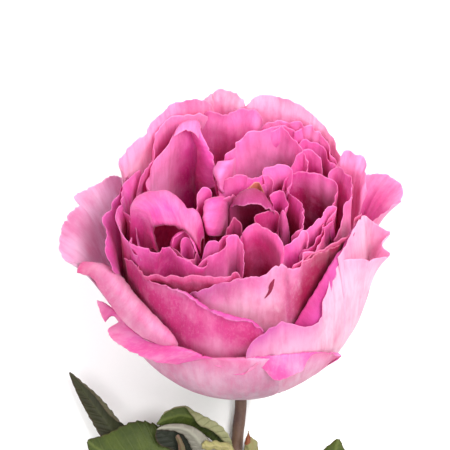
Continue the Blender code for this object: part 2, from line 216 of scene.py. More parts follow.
def along_rows(grid, fractions):
    """Each column of the grid, read again at these fractions of its length."""
    rows, columns, _ = grid.shape
    out = np.empty((len(fractions), columns, 3))
    lengths = np.empty(columns)
    for c in range(columns):
        points = grid[:, c]
        marks = np.concatenate([[0], np.cumsum(np.linalg.norm(np.diff(points, axis=0), axis=1) ** 0.5 + 1e-6)])
        fine = np.linspace(0, marks[-1], 160)
        curve = spline_at(marks, points, fine)
        run = np.concatenate([[0], np.cumsum(np.linalg.norm(np.diff(curve, axis=0), axis=1))])
        lengths[c] = run[-1]
        at = np.interp(fractions * run[-1], run, fine)
        out[:, c] = spline_at(marks, points, at)
    return out, lengths


def sheet_normals(grid):
    down = np.gradient(grid, axis=0)
    over = np.gradient(grid, axis=1)
    normal = np.cross(over, down)
    return normal / np.maximum(np.linalg.norm(normal, axis=-1, keepdims=True), 1e-9)


def sheet_mesh(name, grid, thickness, place, tint, more, turn=1):
    """A closed sheet round a grid of flower points. The side along the normals is the outer one if turn is 1."""
    rows, columns, _ = grid.shape
    normal = sheet_normals(grid)
    half = (thickness / 2)[..., None]
    points = np.concatenate([(grid + normal * half).reshape(-1, 3), (grid - normal * half).reshape(-1, 3)])
    count = rows * columns
    index = np.arange(count).reshape(rows, columns)
    a, b, c, d = index[:-1, :-1], index[:-1, 1:], index[1:, 1:], index[1:, :-1]
    outer = np.stack([a, b, c, d], -1).reshape(-1, 4)
    inner = np.stack([a, d, c, b], -1).reshape(-1, 4) + count
    border = np.concatenate([index[0, :], index[1:, -1], index[-1, -2::-1], index[-2:0:-1, 0]])
    after = np.roll(border, -1)
    rim = np.stack([after, border, border + count, after + count], -1)
    faces = np.concatenate([outer, inner, rim])
    mesh = bpy.data.meshes.new(name)
    mesh.from_pydata(to_world(points).tolist(), [], faces.tolist())
    mesh.shade_smooth()
    for label, values in (("sheet_place", place), ("sheet_tint_and_painted_light", tint), ("sheet_more", more)):
        both = np.concatenate([values.reshape(-1, 3)] * 2).astype(np.float32)
        if label == "sheet_place":
            both[:count, 2] = turn > 0
            both[count:, 2] = turn < 0
        attribute = mesh.attributes.new(label, "FLOAT_VECTOR", "POINT")
        attribute.data.foreach_set("vector", both.ravel())
    piece = bpy.data.objects.new(name, mesh)
    bpy.context.scene.collection.objects.link(piece)
    return piece


COLUMN_STEP = 0.62
ROW_STEP = 1.2


def petal(
    name, kind, rim, plan_ring=None, lips=(), claw=0.42, opening=0.55, ruffle=0.5, turns=None, frill=0.35,
    flare=None, flare_reach=6.0, lean_power=4, swell=0.5, tone_and_painted_light=0.0, base_tone_and_painted_light=0.0, purple=0.0, purple_depth=3.0,
    seed=0, node=None, thickness=0.34, look=None, turn=None, tone_reach=13.0,
):
    if flare is None:
        flare = 0 if lips else 1.2
    rim_points = [spot(*p) for p in rim]
    width = line_places(rim_points, 2)[2]
    columns = int(np.clip(width / COLUMN_STEP, 34, 110))
    turns = turns or max(2, width / 14)
    turn = turn or turn_of(rim_points)
    grid = petal_sheet(rim_points, plan_ring, lips, columns, claw, opening, lean_power)
    side = np.linspace(0, 1, columns)
    length = np.linalg.norm(np.diff(grid[:, columns // 2], axis=0), axis=1).sum()
    fractions = 1 - (1 - np.linspace(0, 1, int(np.clip(length / ROW_STEP, 30, 50)))) ** 1.3
    shared, lengths = along_rows(grid, fractions)
    share = fractions[:, None] * (1 - ragged(seed, side, width, frill) / lengths)[None, :]
    fine = np.empty_like(shared)
    for c in range(columns):
        for k in range(3):
            fine[:, c, k] = np.interp(share[:, c], fractions, shared[:, c, k])
    normal = sheet_normals(fine) * turn
    u, v = np.meshgrid(side, fractions)
    reach = v * lengths[None, :]
    from_rim = lengths[None, :] - reach
    edge = np.minimum(from_rim, np.minimum(u, 1 - u) * width * (0.3 + 0.7 * v))
    shift = ruffle * waves(seed + 1, u, v * 0.5, 5, turns) * np.exp(-from_rim / 4.5)
    shift += 0.55 * ruffle * waves(seed + 3, u, v * 0.3, 6, width / 3.4) * np.exp(-from_rim / 1.8)
    shift += (0.08 if lips else 0.24) * waves(seed + 4, u, v * 0.4, 6, width / 5) * smooth_step(0.3, 0.8, v)
    shift += swell * waves(seed + 2, u * 0.6, v, 4, 2.0) * smooth_step(0.25, 0.8, v)
    shift += flare * (0.8 + 0.5 * waves(seed + 5, u, 0 * v, 4, width / 11)) * (1 - smooth_step(0, flare_reach, from_rim))
    fine = fine + normal * shift[..., None]
    place = np.stack([(u - 0.5) * width + 37.0 * seed, reach, 0 * u], -1)
    # Painted light and shade: the tone at the rim and the base tone lower down make each petal paler where light falls
    # on it and deeper crimson where shade falls, along with some of its own pale and deep colour.
    rim_tone_and_painted_light = spread(tone_and_painted_light, columns)[None, :] + 0 * v
    low_tone_and_painted_light = spread(base_tone_and_painted_light, columns)[None, :] + 0 * v
    mixed_tone_and_painted_light = rim_tone_and_painted_light + (low_tone_and_painted_light - rim_tone_and_painted_light) * smooth_step(1.0, tone_reach, from_rim)
    lilac = spread(purple, columns)[None, :] * np.exp(-from_rim / purple_depth)
    tint = np.stack([edge, mixed_tone_and_painted_light, lilac], -1)
    more = np.stack([from_rim, 0 * v + seed, v], -1)
    thick = thickness * (1.35 - 0.6 * v) * (0.4 + 0.6 * smooth_step(0, 1.6, edge))
    piece = sheet_mesh("look_petal_" + name, fine, thick, place, tint, more, turn)
    piece.data.materials.append(MATERIALS[look or kind])
    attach(piece, "root")
    if node != "":
        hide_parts(node or "petal_" + name)
    return piece


# Materials


def linear(red, green, blue):
    """A colour read off a screen, 0 to 255, as the shader takes it."""
    values = []
    for value in (red, green, blue):
        value = value / 255
        values.append(value / 12.92 if value <= 0.04045 else ((value + 0.055) / 1.055) ** 2.4)
    return (*values, 1)


class Nodes:
    """Short words for putting a material together."""

    def __init__(self, name):
        self.material = bpy.data.materials.new(name)
        self.material.use_nodes = True
        self.tree = self.material.node_tree
        self.tree.nodes.clear()

    def add(self, kind, **settings):
        node = self.tree.nodes.new(kind)
        for key, value in settings.items():
            setattr(node, key, value)
        return node

    def put(self, socket, value):
        if isinstance(value, bpy.types.NodeSocket):
            self.tree.links.new(value, socket)
        else:
            socket.default_value = value

    def math(self, operation, a, b=0.0, c=0.0, clamp=False):
        node = self.add("ShaderNodeMath", operation=operation, use_clamp=clamp)
        for socket, value in zip(node.inputs, (a, b, c)):
            self.put(socket, value)
        return node.outputs[0]

    def mix(self, share, a, b, blend="MIX"):
        node = self.add("ShaderNodeMix", data_type="RGBA", blend_type=blend)
        self.put(node.inputs["Factor"], share)
        self.put(node.inputs[6], a)
        self.put(node.inputs[7], b)
        return node.outputs[2]

    def range(self, value, low, high, to_low=0.0, to_high=1.0, smooth=False):
        node = self.add("ShaderNodeMapRange")
        if smooth:
            node.interpolation_type = "SMOOTHSTEP"
        for socket, item in zip(node.inputs, (value, low, high, to_low, to_high)):
            self.put(socket, item)
        return node.outputs[0]

    def parts(self, attribute):
        node = self.add("ShaderNodeAttribute", attribute_name=attribute)
        split = self.add("ShaderNodeSeparateXYZ")
        self.tree.links.new(node.outputs["Vector"], split.inputs[0])
        return split.outputs[0], split.outputs[1], split.outputs[2]

    def vector(self, x, y, z):
        node = self.add("ShaderNodeCombineXYZ")
        for socket, value in zip(node.inputs, (x, y, z)):
            self.put(socket, value)
        return node.outputs[0]

    def noise(self, vector, scale, detail=3.0, rough=0.5):
        node = self.add("ShaderNodeTexNoise")
        self.tree.links.new(vector, node.inputs["Vector"])
        node.inputs["Scale"].default_value = scale
        node.inputs["Detail"].default_value = detail
        node.inputs["Roughness"].default_value = rough
        return node.outputs["Fac"]

    def bump(self, height, strength, distance, below=None):
        node = self.add("ShaderNodeBump")
        node.inputs["Strength"].default_value = strength
        node.inputs["Distance"].default_value = distance
        self.tree.links.new(height, node.inputs["Height"])
        if below is not None:
            self.tree.links.new(below, node.inputs["Normal"])
        return node.outputs["Normal"]


def petal_material(name, inner, inner_base_and_shade, outer, outer_base_and_shade, pale, deep, glow, steady_painted_shade=0.0):
    m = Nodes(name)
    across, along, outside = m.parts("sheet_place")
    edge, tone_and_painted_light, lilac = m.parts("sheet_tint_and_painted_light")
    from_rim, seed, share = m.parts("sheet_more")
    vein = m.noise(m.vector(across, m.math("MULTIPLY", along, 0.16), seed), 0.75, 5, 0.65)
    blotch = m.noise(m.vector(across, m.math("MULTIPLY", along, 0.7), seed), 0.16, 4, 0.6)
    speck = m.noise(m.vector(across, m.math("MULTIPLY", along, 0.5), seed), 1.5, 4, 0.7)
    # Towards the base the inner face turns deeper, partly the petal's own deeper heart and partly painted shade deep in
    # the cup. The outer face turns to its base colour, greyer on the outer petals, partly painted shade under the bowl.
    inner_colour = m.mix(m.range(from_rim, 1.0, 22.0), inner, inner_base_and_shade)
    outer_colour = m.mix(m.range(from_rim, 4.0, 50.0), outer, outer_base_and_shade)
    colour = m.mix(outside, inner_colour, outer_colour)
    # Painted light and shade: a tone above 0 paints the colour paler, as where light falls, and a tone below 0 deeper,
    # as where shade falls.
    colour = m.mix(m.math("MAXIMUM", tone_and_painted_light, 0.0, clamp=True), colour, pale)
    colour = m.mix(m.math("MULTIPLY", tone_and_painted_light, -1.0, clamp=True), colour, deep)
    patch = m.noise(m.vector(across, m.math("MULTIPLY", along, 0.8), seed), 0.06, 3, 0.5)
    colour = m.mix(m.range(patch, 0.5, 0.7, 0.0, 0.45), colour, pale)
    colour = m.mix(m.range(patch, 0.5, 0.3, 0.0, 0.4), colour, deep)
    colour = m.mix(m.range(blotch, 0.5, 0.75, 0.0, 0.35), colour, pale)
    colour = m.mix(m.range(blotch, 0.5, 0.25, 0.0, 0.3), colour, deep)
    colour = m.mix(m.range(vein, 0.45, 0.75, 0.0, 0.28), colour, deep)
    colour = m.mix(m.range(speck, 0.5, 0.75, 0.0, 0.2), colour, pale)
    # Painted shade: where the tone is deepest, a steady share of the deep colour over the mottling.
    colour = m.mix(m.range(tone_and_painted_light, -0.4, -1.0, 0.0, steady_painted_shade), colour, deep)
    colour = m.mix(m.math("MULTIPLY", lilac, m.range(blotch, 0.3, 0.7, 0.6, 1.0), clamp=True), colour, LILAC)
    # Along the very edge a paler colour: partly the thin margin's own colour, partly a painted highlight where light
    # catches the rim.
    pale_edge_and_highlight = m.range(m.math("SUBTRACT", edge, m.range(speck, 0.35, 0.65, -0.05, 0.5)), 0.0, 0.35, 0.24, 0.0)
    colour = m.mix(pale_edge_and_highlight, colour, PALE_EDGE_AND_HIGHLIGHT)
    shader = m.add("ShaderNodeBsdfPrincipled")
    m.put(shader.inputs["Base Color"], colour)
    shader.inputs["Roughness"].default_value = 0.55
    shader.inputs["Specular IOR Level"].default_value = 0.3
    shader.inputs["Sheen Weight"].default_value = 0.12
    shader.inputs["Sheen Roughness"].default_value = 0.45
    height = m.math("ADD", m.math("MULTIPLY", vein, 1.0), m.math("MULTIPLY", speck, 0.25))
    m.put(shader.inputs["Normal"], m.bump(height, 0.5, 0.0006))
    thin = m.add("ShaderNodeBsdfTranslucent")
    m.put(thin.inputs["Color"], m.mix(0.12, colour, deep))
    both = m.add("ShaderNodeMixShader")
    both.inputs[0].default_value = glow
    m.tree.links.new(shader.outputs[0], both.inputs[1])
    m.tree.links.new(thin.outputs[0], both.inputs[2])
    out = m.add("ShaderNodeOutputMaterial")
    m.tree.links.new(both.outputs[0], out.inputs["Surface"])
    return m.material


LILAC = linear(206, 86, 172)
PALE_EDGE_AND_HIGHLIGHT = linear(255, 184, 218)
MATERIALS = {
    "outer_petal": petal_material(
        "outer_petal", linear(238, 130, 204), linear(234, 88, 182), linear(240, 160, 206),
        linear(160, 150, 154), linear(250, 210, 230), linear(220, 18, 130), 0.42),
    "guard_petal": petal_material(
        "guard_petal", linear(216, 134, 192), linear(210, 104, 176), linear(216, 158, 200),
        linear(160, 150, 154), linear(232, 200, 220), linear(196, 30, 124), 0.42),
    "cup_petal": petal_material(
        "cup_petal", linear(250, 108, 206), linear(234, 30, 156), linear(242, 102, 182),
        linear(236, 108, 178), linear(254, 192, 228), linear(202, 5, 108), 0.42),
    "heart_petal": petal_material(
        "heart_petal", linear(250, 98, 202), linear(228, 20, 142), linear(244, 90, 188),
        linear(226, 28, 138), linear(255, 172, 224), linear(190, 18, 98), 0.42),
    # Deeper crimson for petals down in valleys and hollows: partly the heart's own colour, partly painted shade.
    "valley_shade": petal_material(
        "valley_shade", linear(222, 54, 140), linear(190, 10, 84), linear(222, 54, 140),
        linear(190, 10, 84), linear(240, 120, 184), linear(146, 10, 60), 0.3, 0.3),
    # Deep crimson for inner petals seen in the gaps between others: partly the heart's own colour, partly painted
    # shade.
    "crimson_and_shade": petal_material(
        "crimson_and_shade", linear(218, 40, 118), linear(200, 10, 84), linear(218, 40, 118),
        linear(200, 10, 84), linear(250, 140, 196), linear(150, 8, 60), 0.42, 0.3),
    "pale_fold": petal_material(
        "pale_fold", linear(246, 138, 200), linear(236, 112, 184), linear(244, 140, 196),
        linear(236, 130, 186), linear(252, 224, 240), linear(186, 8, 84), 0.42, 0.85),
    # Painted shade: dark crimson for the shade seen in the slit of the front fold.
    "slit_shade": petal_material(
        "slit_shade", linear(140, 8, 60), linear(110, 4, 44), linear(140, 8, 60),
        linear(110, 4, 44), linear(190, 40, 110), linear(90, 2, 36), 0.2),
    "petaloid": petal_material(
        "petaloid", linear(214, 122, 102), linear(196, 82, 84), linear(214, 122, 102),
        linear(196, 82, 84), linear(232, 170, 124), linear(170, 50, 76), 0.3),
}

# Petals: the rim as (pixel across, pixel down, rise in millimetres) from one side to the other.
# The petal climbs from the hip to that line, and goes on through the lines of its lips.

# The tone at the rim and the base tone lower down paint light and shade into each petal, listed across it from one side
# to the other: above 0 paler where light falls, below 0 deeper crimson where shade falls.
GUARD_LEFT = [(124, 178, 15), (113, 174, 18), (97, 183, 20), (84, 189, 21), (72, 196, 21), (80, 204, 20), (69, 211, 20),
              (62, 225, 19), (58, 240, 17), (58, 250, 15), (65, 259, 12), (80, 262, 9), (92, 262, 6)]
petal("guard_left", "outer_petal", GUARD_LEFT, ring(0), flare=0, lean_power=5, turns=5, swell=0.9, tone_and_painted_light=0.6,
      base_tone_and_painted_light=0.9, seed=1, look="guard_petal")
GUARD_RIGHT = [(352, 184, 16), (362, 175, 20), (378, 172, 22), (391, 175, 22), (400, 182, 21.5), (404, 191, 21),
               (402, 200, 20.5), (394, 205, 20), (386, 211, 19), (375, 219, 17.5), (368, 230, 15), (362, 240, 12)]
petal("guard_right", "outer_petal", GUARD_RIGHT, ring(0), flare=0, lean_power=7, swell=0.6, tone_and_painted_light=0.4,
      base_tone_and_painted_light=(0.1, 0.1, 0.2, 0.8), seed=2)
GUARD_BACK = [(186, 112, 32), (200, 104, 36), (207, 98, 39), (211, 95, 40.5), (214, 97, 40), (218, 92, 41),
              (223, 90, 41.5), (231, 93, 41.5), (238, 97, 41), (242, 102, 39), (246, 112, 34)]
petal("guard_back", "outer_petal", GUARD_BACK, ring(0), ruffle=0.3, tone_and_painted_light=0.9, base_tone_and_painted_light=0.4, seed=3)
BACK_RIGHT = [(238, 132, 25), (243, 116, 33), (247, 105, 38.5), (252, 99, 40.5), (258, 96.5, 41.5), (266, 95, 42),
              (276, 96, 41.8), (288, 100, 41), (297, 103, 40.3), (305, 110, 39), (313, 118, 37.5), (322, 127, 35.5),
              (330, 137, 33.5), (335, 146, 32), (339, 154, 30), (342, 166, 26)]
petal("back_right", "outer_petal", BACK_RIGHT, ring(0.6), ruffle=0.2, flare=0.8, tone_and_painted_light=0.8, base_tone_and_painted_light=0.4, seed=4)
BACK_LEFT = [(214, 112, 34), (209, 103, 38), (204, 100, 40.5), (197, 99, 42), (188, 100, 42), (180, 104, 41.5),
             (170, 109, 41), (160, 117, 40), (153, 124, 38.5), (148, 134, 36.5), (138, 142, 36), (128, 152, 35),
             (122, 157, 33.5), (123, 166, 30), (126, 176, 26)]
petal("back_left", "outer_petal", BACK_LEFT, ring(0.8), ruffle=0.3, tone_and_painted_light=0.5, base_tone_and_painted_light=0.85, seed=5)
CUP_LEFT = [(126, 174, 25), (120, 184, 26), (116, 194, 26.5), (111, 201, 26.5), (109, 209, 26), (105, 213, 25.5),
            (104, 221, 25), (107, 230, 24), (106, 240, 23), (105, 250, 21), (108, 260, 19), (114, 270, 16)]
petal("cup_left", "outer_petal", CUP_LEFT, ring(1.6), flare=0, lean_power=9, ruffle=0.5, tone_and_painted_light=-0.25, purple=0.9,
      purple_depth=9, seed=6)
LOWER_LEFT = [(104, 303, -7), (108, 305, -6), (114, 309, -5), (120, 316, -4), (126, 322, -3), (132, 328, -2),
              (144, 337, -1), (158, 343, -0.5), (174, 346, 1.5), (190, 350, 2.5), (205, 356, 2), (222, 360, 1.5),
              (236, 360, 2), (250, 358, 2.5), (268, 358, 1.5), (285, 357, 0)]
LOWER_LEFT_EDGE = [(97, 300, -9), (99, 311, -9), (103, 322, -9), (110, 317, -7.6), (119, 319.5, -6.4),
                   (107, 330, -7.6), (113, 341, -7.5), (128, 351, -7.5), (146, 359, -6), (163, 361, -5.5),
                   (177, 364, -5), (186, 359, -1.4), (201, 362, -0.8), (219, 368, -1.8), (237, 376, -4.6),
                   (257, 362, 1)]
petal("lower_left", "outer_petal", LOWER_LEFT, ring(0), [LOWER_LEFT_EDGE], ruffle=0.5, tone_and_painted_light=-0.4, base_tone_and_painted_light=0,
      seed=7)
LOWER_FRONT = [(240, 362, 1), (250, 357, 2.7), (262, 355, 2.9), (276, 354, 2.5), (290, 353, 1.5), (303, 352, 0),
               (320, 352, -3), (331, 353, -6.5), (341, 356, -11), (333, 362, -14)]
LOWER_FRONT_EDGE = [(240, 364, 0), (252, 360, 1), (265, 372, -3.5), (274, 381, -6.8), (288, 379, -6.5), (302, 371, -6),
                    (312, 355, -2.5), (331, 354.5, -7.5), (342, 357, -12), (333, 364, -15)]
petal("lower_front", "outer_petal", LOWER_FRONT, ring(0.5), [LOWER_FRONT_EDGE], ruffle=0.3, seed=8, lean_power=6,
      tone_and_painted_light=(-0.2, -0.4, -0.3, 0), base_tone_and_painted_light=(0, 0.1, 0.4, 0.5))
OUTER_RIGHT = [(246, 352, 6), (251, 344, 8.8), (259, 336, 11.4), (267, 330, 13.2), (274, 325, 14.6), (281, 321, 15.6),
               (288, 322.5, 14), (295, 324, 12.8), (303, 326, 11.2), (311, 325, 10.8), (318, 321, 11.4),
               (322.5, 315, 13), (322.5, 307, 15.8), (322.5, 301, 17.4), (326, 292, 19.6), (329, 280, 22.8),
               (332, 269, 25.6), (337, 261.5, 27), (347, 258, 27), (358, 257.5, 24.5), (370, 257.5, 21),
               (391, 253, 18), (382, 246, 18.5), (382, 240, 18.5), (391, 231, 19), (380, 226, 20.5),
               (372, 220, 23.5), (365, 215, 28), (359, 218, 31.6), (355, 227, 32.4), (350, 236, 32.3),
               (343.5, 247, 31.2), (337.5, 256.5, 29.6)]
petal("outer_right", "outer_petal", OUTER_RIGHT, ring(0.3), flare=0, lean_power=7, ruffle=0.2,
      tone_and_painted_light=(0.3, 0.4, 0.5, 0.5, 0.7, 0.8), base_tone_and_painted_light=(0.4, 0.7, 0.8, 0.9, 0.8), purple=(1.2, 1.2, 0.8, 0, 0, 0, 0, 0, 0, 0.3, 0.3),
      purple_depth=6, seed=9)
ROLLED = [(88, 264, 10), (104, 264, 12.5), (115, 270, 12.5), (125, 280, 11.5), (137, 296, 10.5), (150, 310, 9.4),
          (162, 322, 7), (172, 333, 4.6), (178, 343, 1)]
petal("rolled_left", "outer_petal", ROLLED, ring(1), [
    [(84, 261, 11.5), (99, 265, 14), (110, 278, 14), (119, 291, 12.5), (131, 306, 11), (144, 319, 9.5),
     (157, 330, 7), (170, 338, 5), (178, 345, 1)],
    [(78, 267, 9), (92, 276, 9), (100, 289, 7.5), (109, 302, 5.5), (119, 316, 3.5), (133, 330, 1.5),
     (150, 341, 0.5), (166, 346, 0), (176, 348, -1)],
    [(77, 273, 7), (93, 279, 6), (103, 288, 4), (112, 299, 2), (123, 312, 0), (137, 325, -2), (153, 336, -2),
     (167, 343, -2), (175, 347, -3)]],
      ruffle=0.2, swell=0, tone_and_painted_light=(-0.8, -0.45, -0.5, -0.3), base_tone_and_painted_light=-0.2, seed=10)
FRONT_LEFT = [(124, 258, 19), (131, 262, 19.5), (138, 270, 19.5), (147, 279, 19.5), (158, 283, 20.5), (168, 286, 21),
              (180, 290, 21), (190, 294, 21), (200, 301, 19.5), (212, 308, 18.5), (222, 312, 18), (235, 316, 17.5),
              (250, 319, 17), (262, 328, 13), (270, 340, 7)]
petal("front_left", "cup_petal", FRONT_LEFT, ring(2),
      [moved(FRONT_LEFT, (0, 1, -0.3), (-1, 1, 0), (-2, 3, -0.5), (-3, 5, -1), (-2, 6, -1.5), (0, 3, -1))],
      ruffle=0.5, tone_and_painted_light=(-0.8, -0.8, -0.6, -0.5, -0.4, -0.5), base_tone_and_painted_light=(-0.8, -0.7, -0.5, -0.3, -0.6, -0.9),
      purple=(0.3, 0.4, 0.8, 0.9, 0.9), purple_depth=2.4, seed=11)
FRONT_RIGHT = [(289, 334, 6), (295, 323, 10), (300, 315, 12.8), (306, 304, 16.5), (312, 295, 19.3), (318, 285, 22),
               (325, 274, 24.8), (330, 266, 26.8), (336, 257, 28.6), (343, 247, 30), (350, 235, 31), (359, 218, 31.4)]
petal("front_right", "cup_petal", FRONT_RIGHT, ring(2), [
    [(293, 338, 5), (301, 328, 8), (308, 321, 10.5), (315, 311, 13.5), (319, 301, 16.5), (324, 291, 19.5),
     (329, 279, 23), (333, 270, 25.3), (338, 259, 27.4), (344.5, 248.5, 28.8), (351.5, 236, 30), (360, 219, 30.6)],
    [(297, 342, 3), (307, 333, 5.5), (317, 328, 7.5), (325, 318, 10), (328, 306, 13.5), (331, 295, 17),
     (334, 283, 20.6), (336, 274, 23.2), (340, 262, 25.6), (346, 251, 27.6), (353, 238, 29), (361, 221, 30)]],
      lean_power=8, ruffle=0.35, frill=0.3, tone_and_painted_light=(-0.1, -0.1, -0.2, -0.3, -0.6), base_tone_and_painted_light=(0, -0.1, -0.3, -0.7),
      tone_reach=6, purple=(1.1, 1.1, 0.9, 0.3), purple_depth=6, seed=12, look="valley_shade")
UPRIGHT_RIGHT = [(336, 178, 24), (338, 164, 30), (341, 156, 34), (349, 153, 35.5), (358, 156, 35.5), (365, 162, 34),
                 (364, 180, 29), (364, 194, 24)]
petal("upright_right", "cup_petal", UPRIGHT_RIGHT, ring(2), ruffle=0.4, tone_and_painted_light=0.7, base_tone_and_painted_light=0.7, seed=13)
INNER_BACK_RIGHT = [(258, 134, 30), (265, 126, 34), (275, 123, 35), (290, 122, 35.5), (300, 124, 35.5),
                    (312, 130, 34.5), (322, 138, 33.5), (327, 146, 32), (331, 160, 30), (334, 172, 27)]
petal("inner_back_right", "cup_petal", INNER_BACK_RIGHT, ring(2), ruffle=0.6, turns=6, tone_and_painted_light=0.3, seed=14)
INNER_BACK_LEFT = [(140, 187, 26), (142, 181, 27.6), (143.5, 175, 28.6), (146, 169, 29.6), (151, 164, 30.6),
                   (154.5, 158, 31.8), (155, 151, 33), (153, 146, 34), (155, 139, 35), (158, 130, 36),
                   (163, 121, 37), (170, 115, 38), (180, 113.5, 38), (191, 113, 38), (200, 114, 37.5), (208, 119, 35)]
petal("inner_back_left", "cup_petal", INNER_BACK_LEFT, ring(1.6), ruffle=0.3, flare=0.3, tone_and_painted_light=(0.1, 0.3, 0.6),
      base_tone_and_painted_light=0.1, seed=15)
INNER_LEFT = [(127, 196, 29), (122, 205, 29), (119, 213, 28.5), (120, 220, 28), (122, 228, 27.5), (126, 235, 27),
              (131, 242, 26), (138, 250, 24.5), (146, 258, 22), (150, 268, 18)]
petal("inner_left", "cup_petal", INNER_LEFT, ring(2.4), ruffle=0.5, purple=0.7, tone_and_painted_light=0.1, base_tone_and_painted_light=-0.8, seed=16)
CROWN_BACK = [(196, 130, 29), (201, 119, 34), (207, 114, 36.5), (215, 114, 37), (225, 118, 36.5), (233, 116, 37),
              (241, 110, 38), (250, 113, 37), (256, 117, 35.5), (262, 124, 33), (268, 133, 30)]
petal("crown_back", "cup_petal", CROWN_BACK, ring(3), ruffle=0.3, flare=2.0, purple=0.4, tone_and_painted_light=0.4, base_tone_and_painted_light=0.2,
      seed=17)
SECOND_LEFT = [(143, 170, 27), (136, 176, 28), (130, 181, 28.5), (125, 189, 28), (125, 198, 27.5), (125, 206, 27),
               (128, 213, 26.5), (133, 221, 26), (139, 227, 25), (142, 236, 23.5), (138, 246, 21), (140, 256, 18)]
petal("second_left", "cup_petal", SECOND_LEFT, ring(3.2), ruffle=0.4, purple=0.5, tone_and_painted_light=0.2, base_tone_and_painted_light=-0.8, seed=18)
FRONT_FOLD = [(178, 306, 13), (185, 298, 17.5), (192, 292, 20.5), (205, 287, 24), (222, 282, 27), (232, 279, 28.6),
              (240, 276.5, 29.6), (246, 274, 30.4), (252, 273, 30.8), (258, 273.5, 31.2), (264, 270.5, 32),
              (270, 266, 33), (276, 262.5, 33.4), (281, 261, 33.4), (287, 264.5, 33), (293, 266, 32.6),
              (300, 262.5, 32.2), (307, 258, 31.8), (314, 253.5, 31.3), (321, 249.5, 30.8),
              (328, 245.5, 30.3), (336, 241, 29.9), (343, 236, 29.7), (350, 229, 29.6)]
front_fold = petal("front_fold", "cup_petal", FRONT_FOLD, ring(3), ruffle=0.35, claw=0.36, frill=0.4, flare=0.8,
      tone_and_painted_light=(-0.3, -0.3, -0.3, -0.2, -0.1, -0.1, 0, 0, 0.1, 0.2, 0.1, -0.4, -0.7, -0.8, -0.9, -1, -1),
      base_tone_and_painted_light=(-0.3, -0.2, 0, 0.1, 0.2, 0.3, 0.35, 0.4, 0.4, 0.3, -0.4, -1, -1, -1, -1, -1, -1), tone_reach=16,
      purple=(1, 1, 0.9, 0.6, 0.4, 0.3, 0, 0, 0), purple_depth=4.5, seed=19, look="pale_fold")
SECOND_RIGHT = [(331, 237, 26), (335, 228, 28.4), (339, 219, 29.8), (342, 209, 30.4), (345, 200, 30.6),
                (348, 192, 30.8), (351, 186, 31), (349, 181, 31.4), (345, 175, 31.8), (340, 169.5, 31.8),
                (336, 168, 31.2), (332, 171, 29.6), (330, 180, 27)]
petal("second_right", "cup_petal", SECOND_RIGHT, ring(3), ruffle=0.4, tone_and_painted_light=(0, 0.2, 0.2), purple=0.3, seed=20)
SECOND_FRONT_RIGHT = [(290, 276, 25), (301, 260, 29.5), (310, 251, 31), (322, 246, 31.5), (333, 240, 31.5),
                      (341, 235, 31.5), (346, 231, 31), (354, 222, 30.5), (361, 212, 30)]
petal("second_front_right", "cup_petal", SECOND_FRONT_RIGHT, ring(3.4), ruffle=0.4, tone_and_painted_light=0.6, base_tone_and_painted_light=-0.4,
      tone_reach=4, look="crimson_and_shade", seed=21)
THIRD_LEFT = [(140, 262, 20), (147, 272, 22), (158, 271, 24), (175, 273, 26), (195, 273, 28), (212, 274.5, 29),
              (222, 276, 29.2), (229, 273.5, 29.6), (235, 270, 30), (239, 271.5, 29.6), (243, 275.5, 28.2), (246, 283, 25)]
petal("third_left", "cup_petal", THIRD_LEFT, ring(4), ruffle=0.3, turns=9, tone_and_painted_light=0.3, base_tone_and_painted_light=-0.8, tone_reach=5, purple=0.3,
      look="crimson_and_shade", seed=22)
THIRD_FRONT = [(280, 272, 27), (288, 266, 30), (293, 260, 31), (300, 254, 31.5), (308, 249, 31.5), (315, 243, 31.5),
               (320, 234, 31), (321, 226, 29), (322, 216, 26)]
petal("third_front", "cup_petal", THIRD_FRONT, ring(4), ruffle=0.5, turns=5, seed=23)
LEFT_HOOD = [(151, 248, 22), (147, 234, 26.4), (145, 225, 28.6), (141, 219, 30), (136, 213, 31), (131.5, 207, 32),
             (134, 200, 33), (140, 195, 33.8), (148, 192, 34.4), (157, 191, 34.6), (166, 190.5, 34.5),
             (173, 194, 34), (179, 198.5, 33.3), (184, 204, 32.6), (188, 208.5, 32), (193, 208, 32),
             (198, 212.5, 31), (201, 219, 29.6), (203, 228, 27.4), (204, 238, 25)]
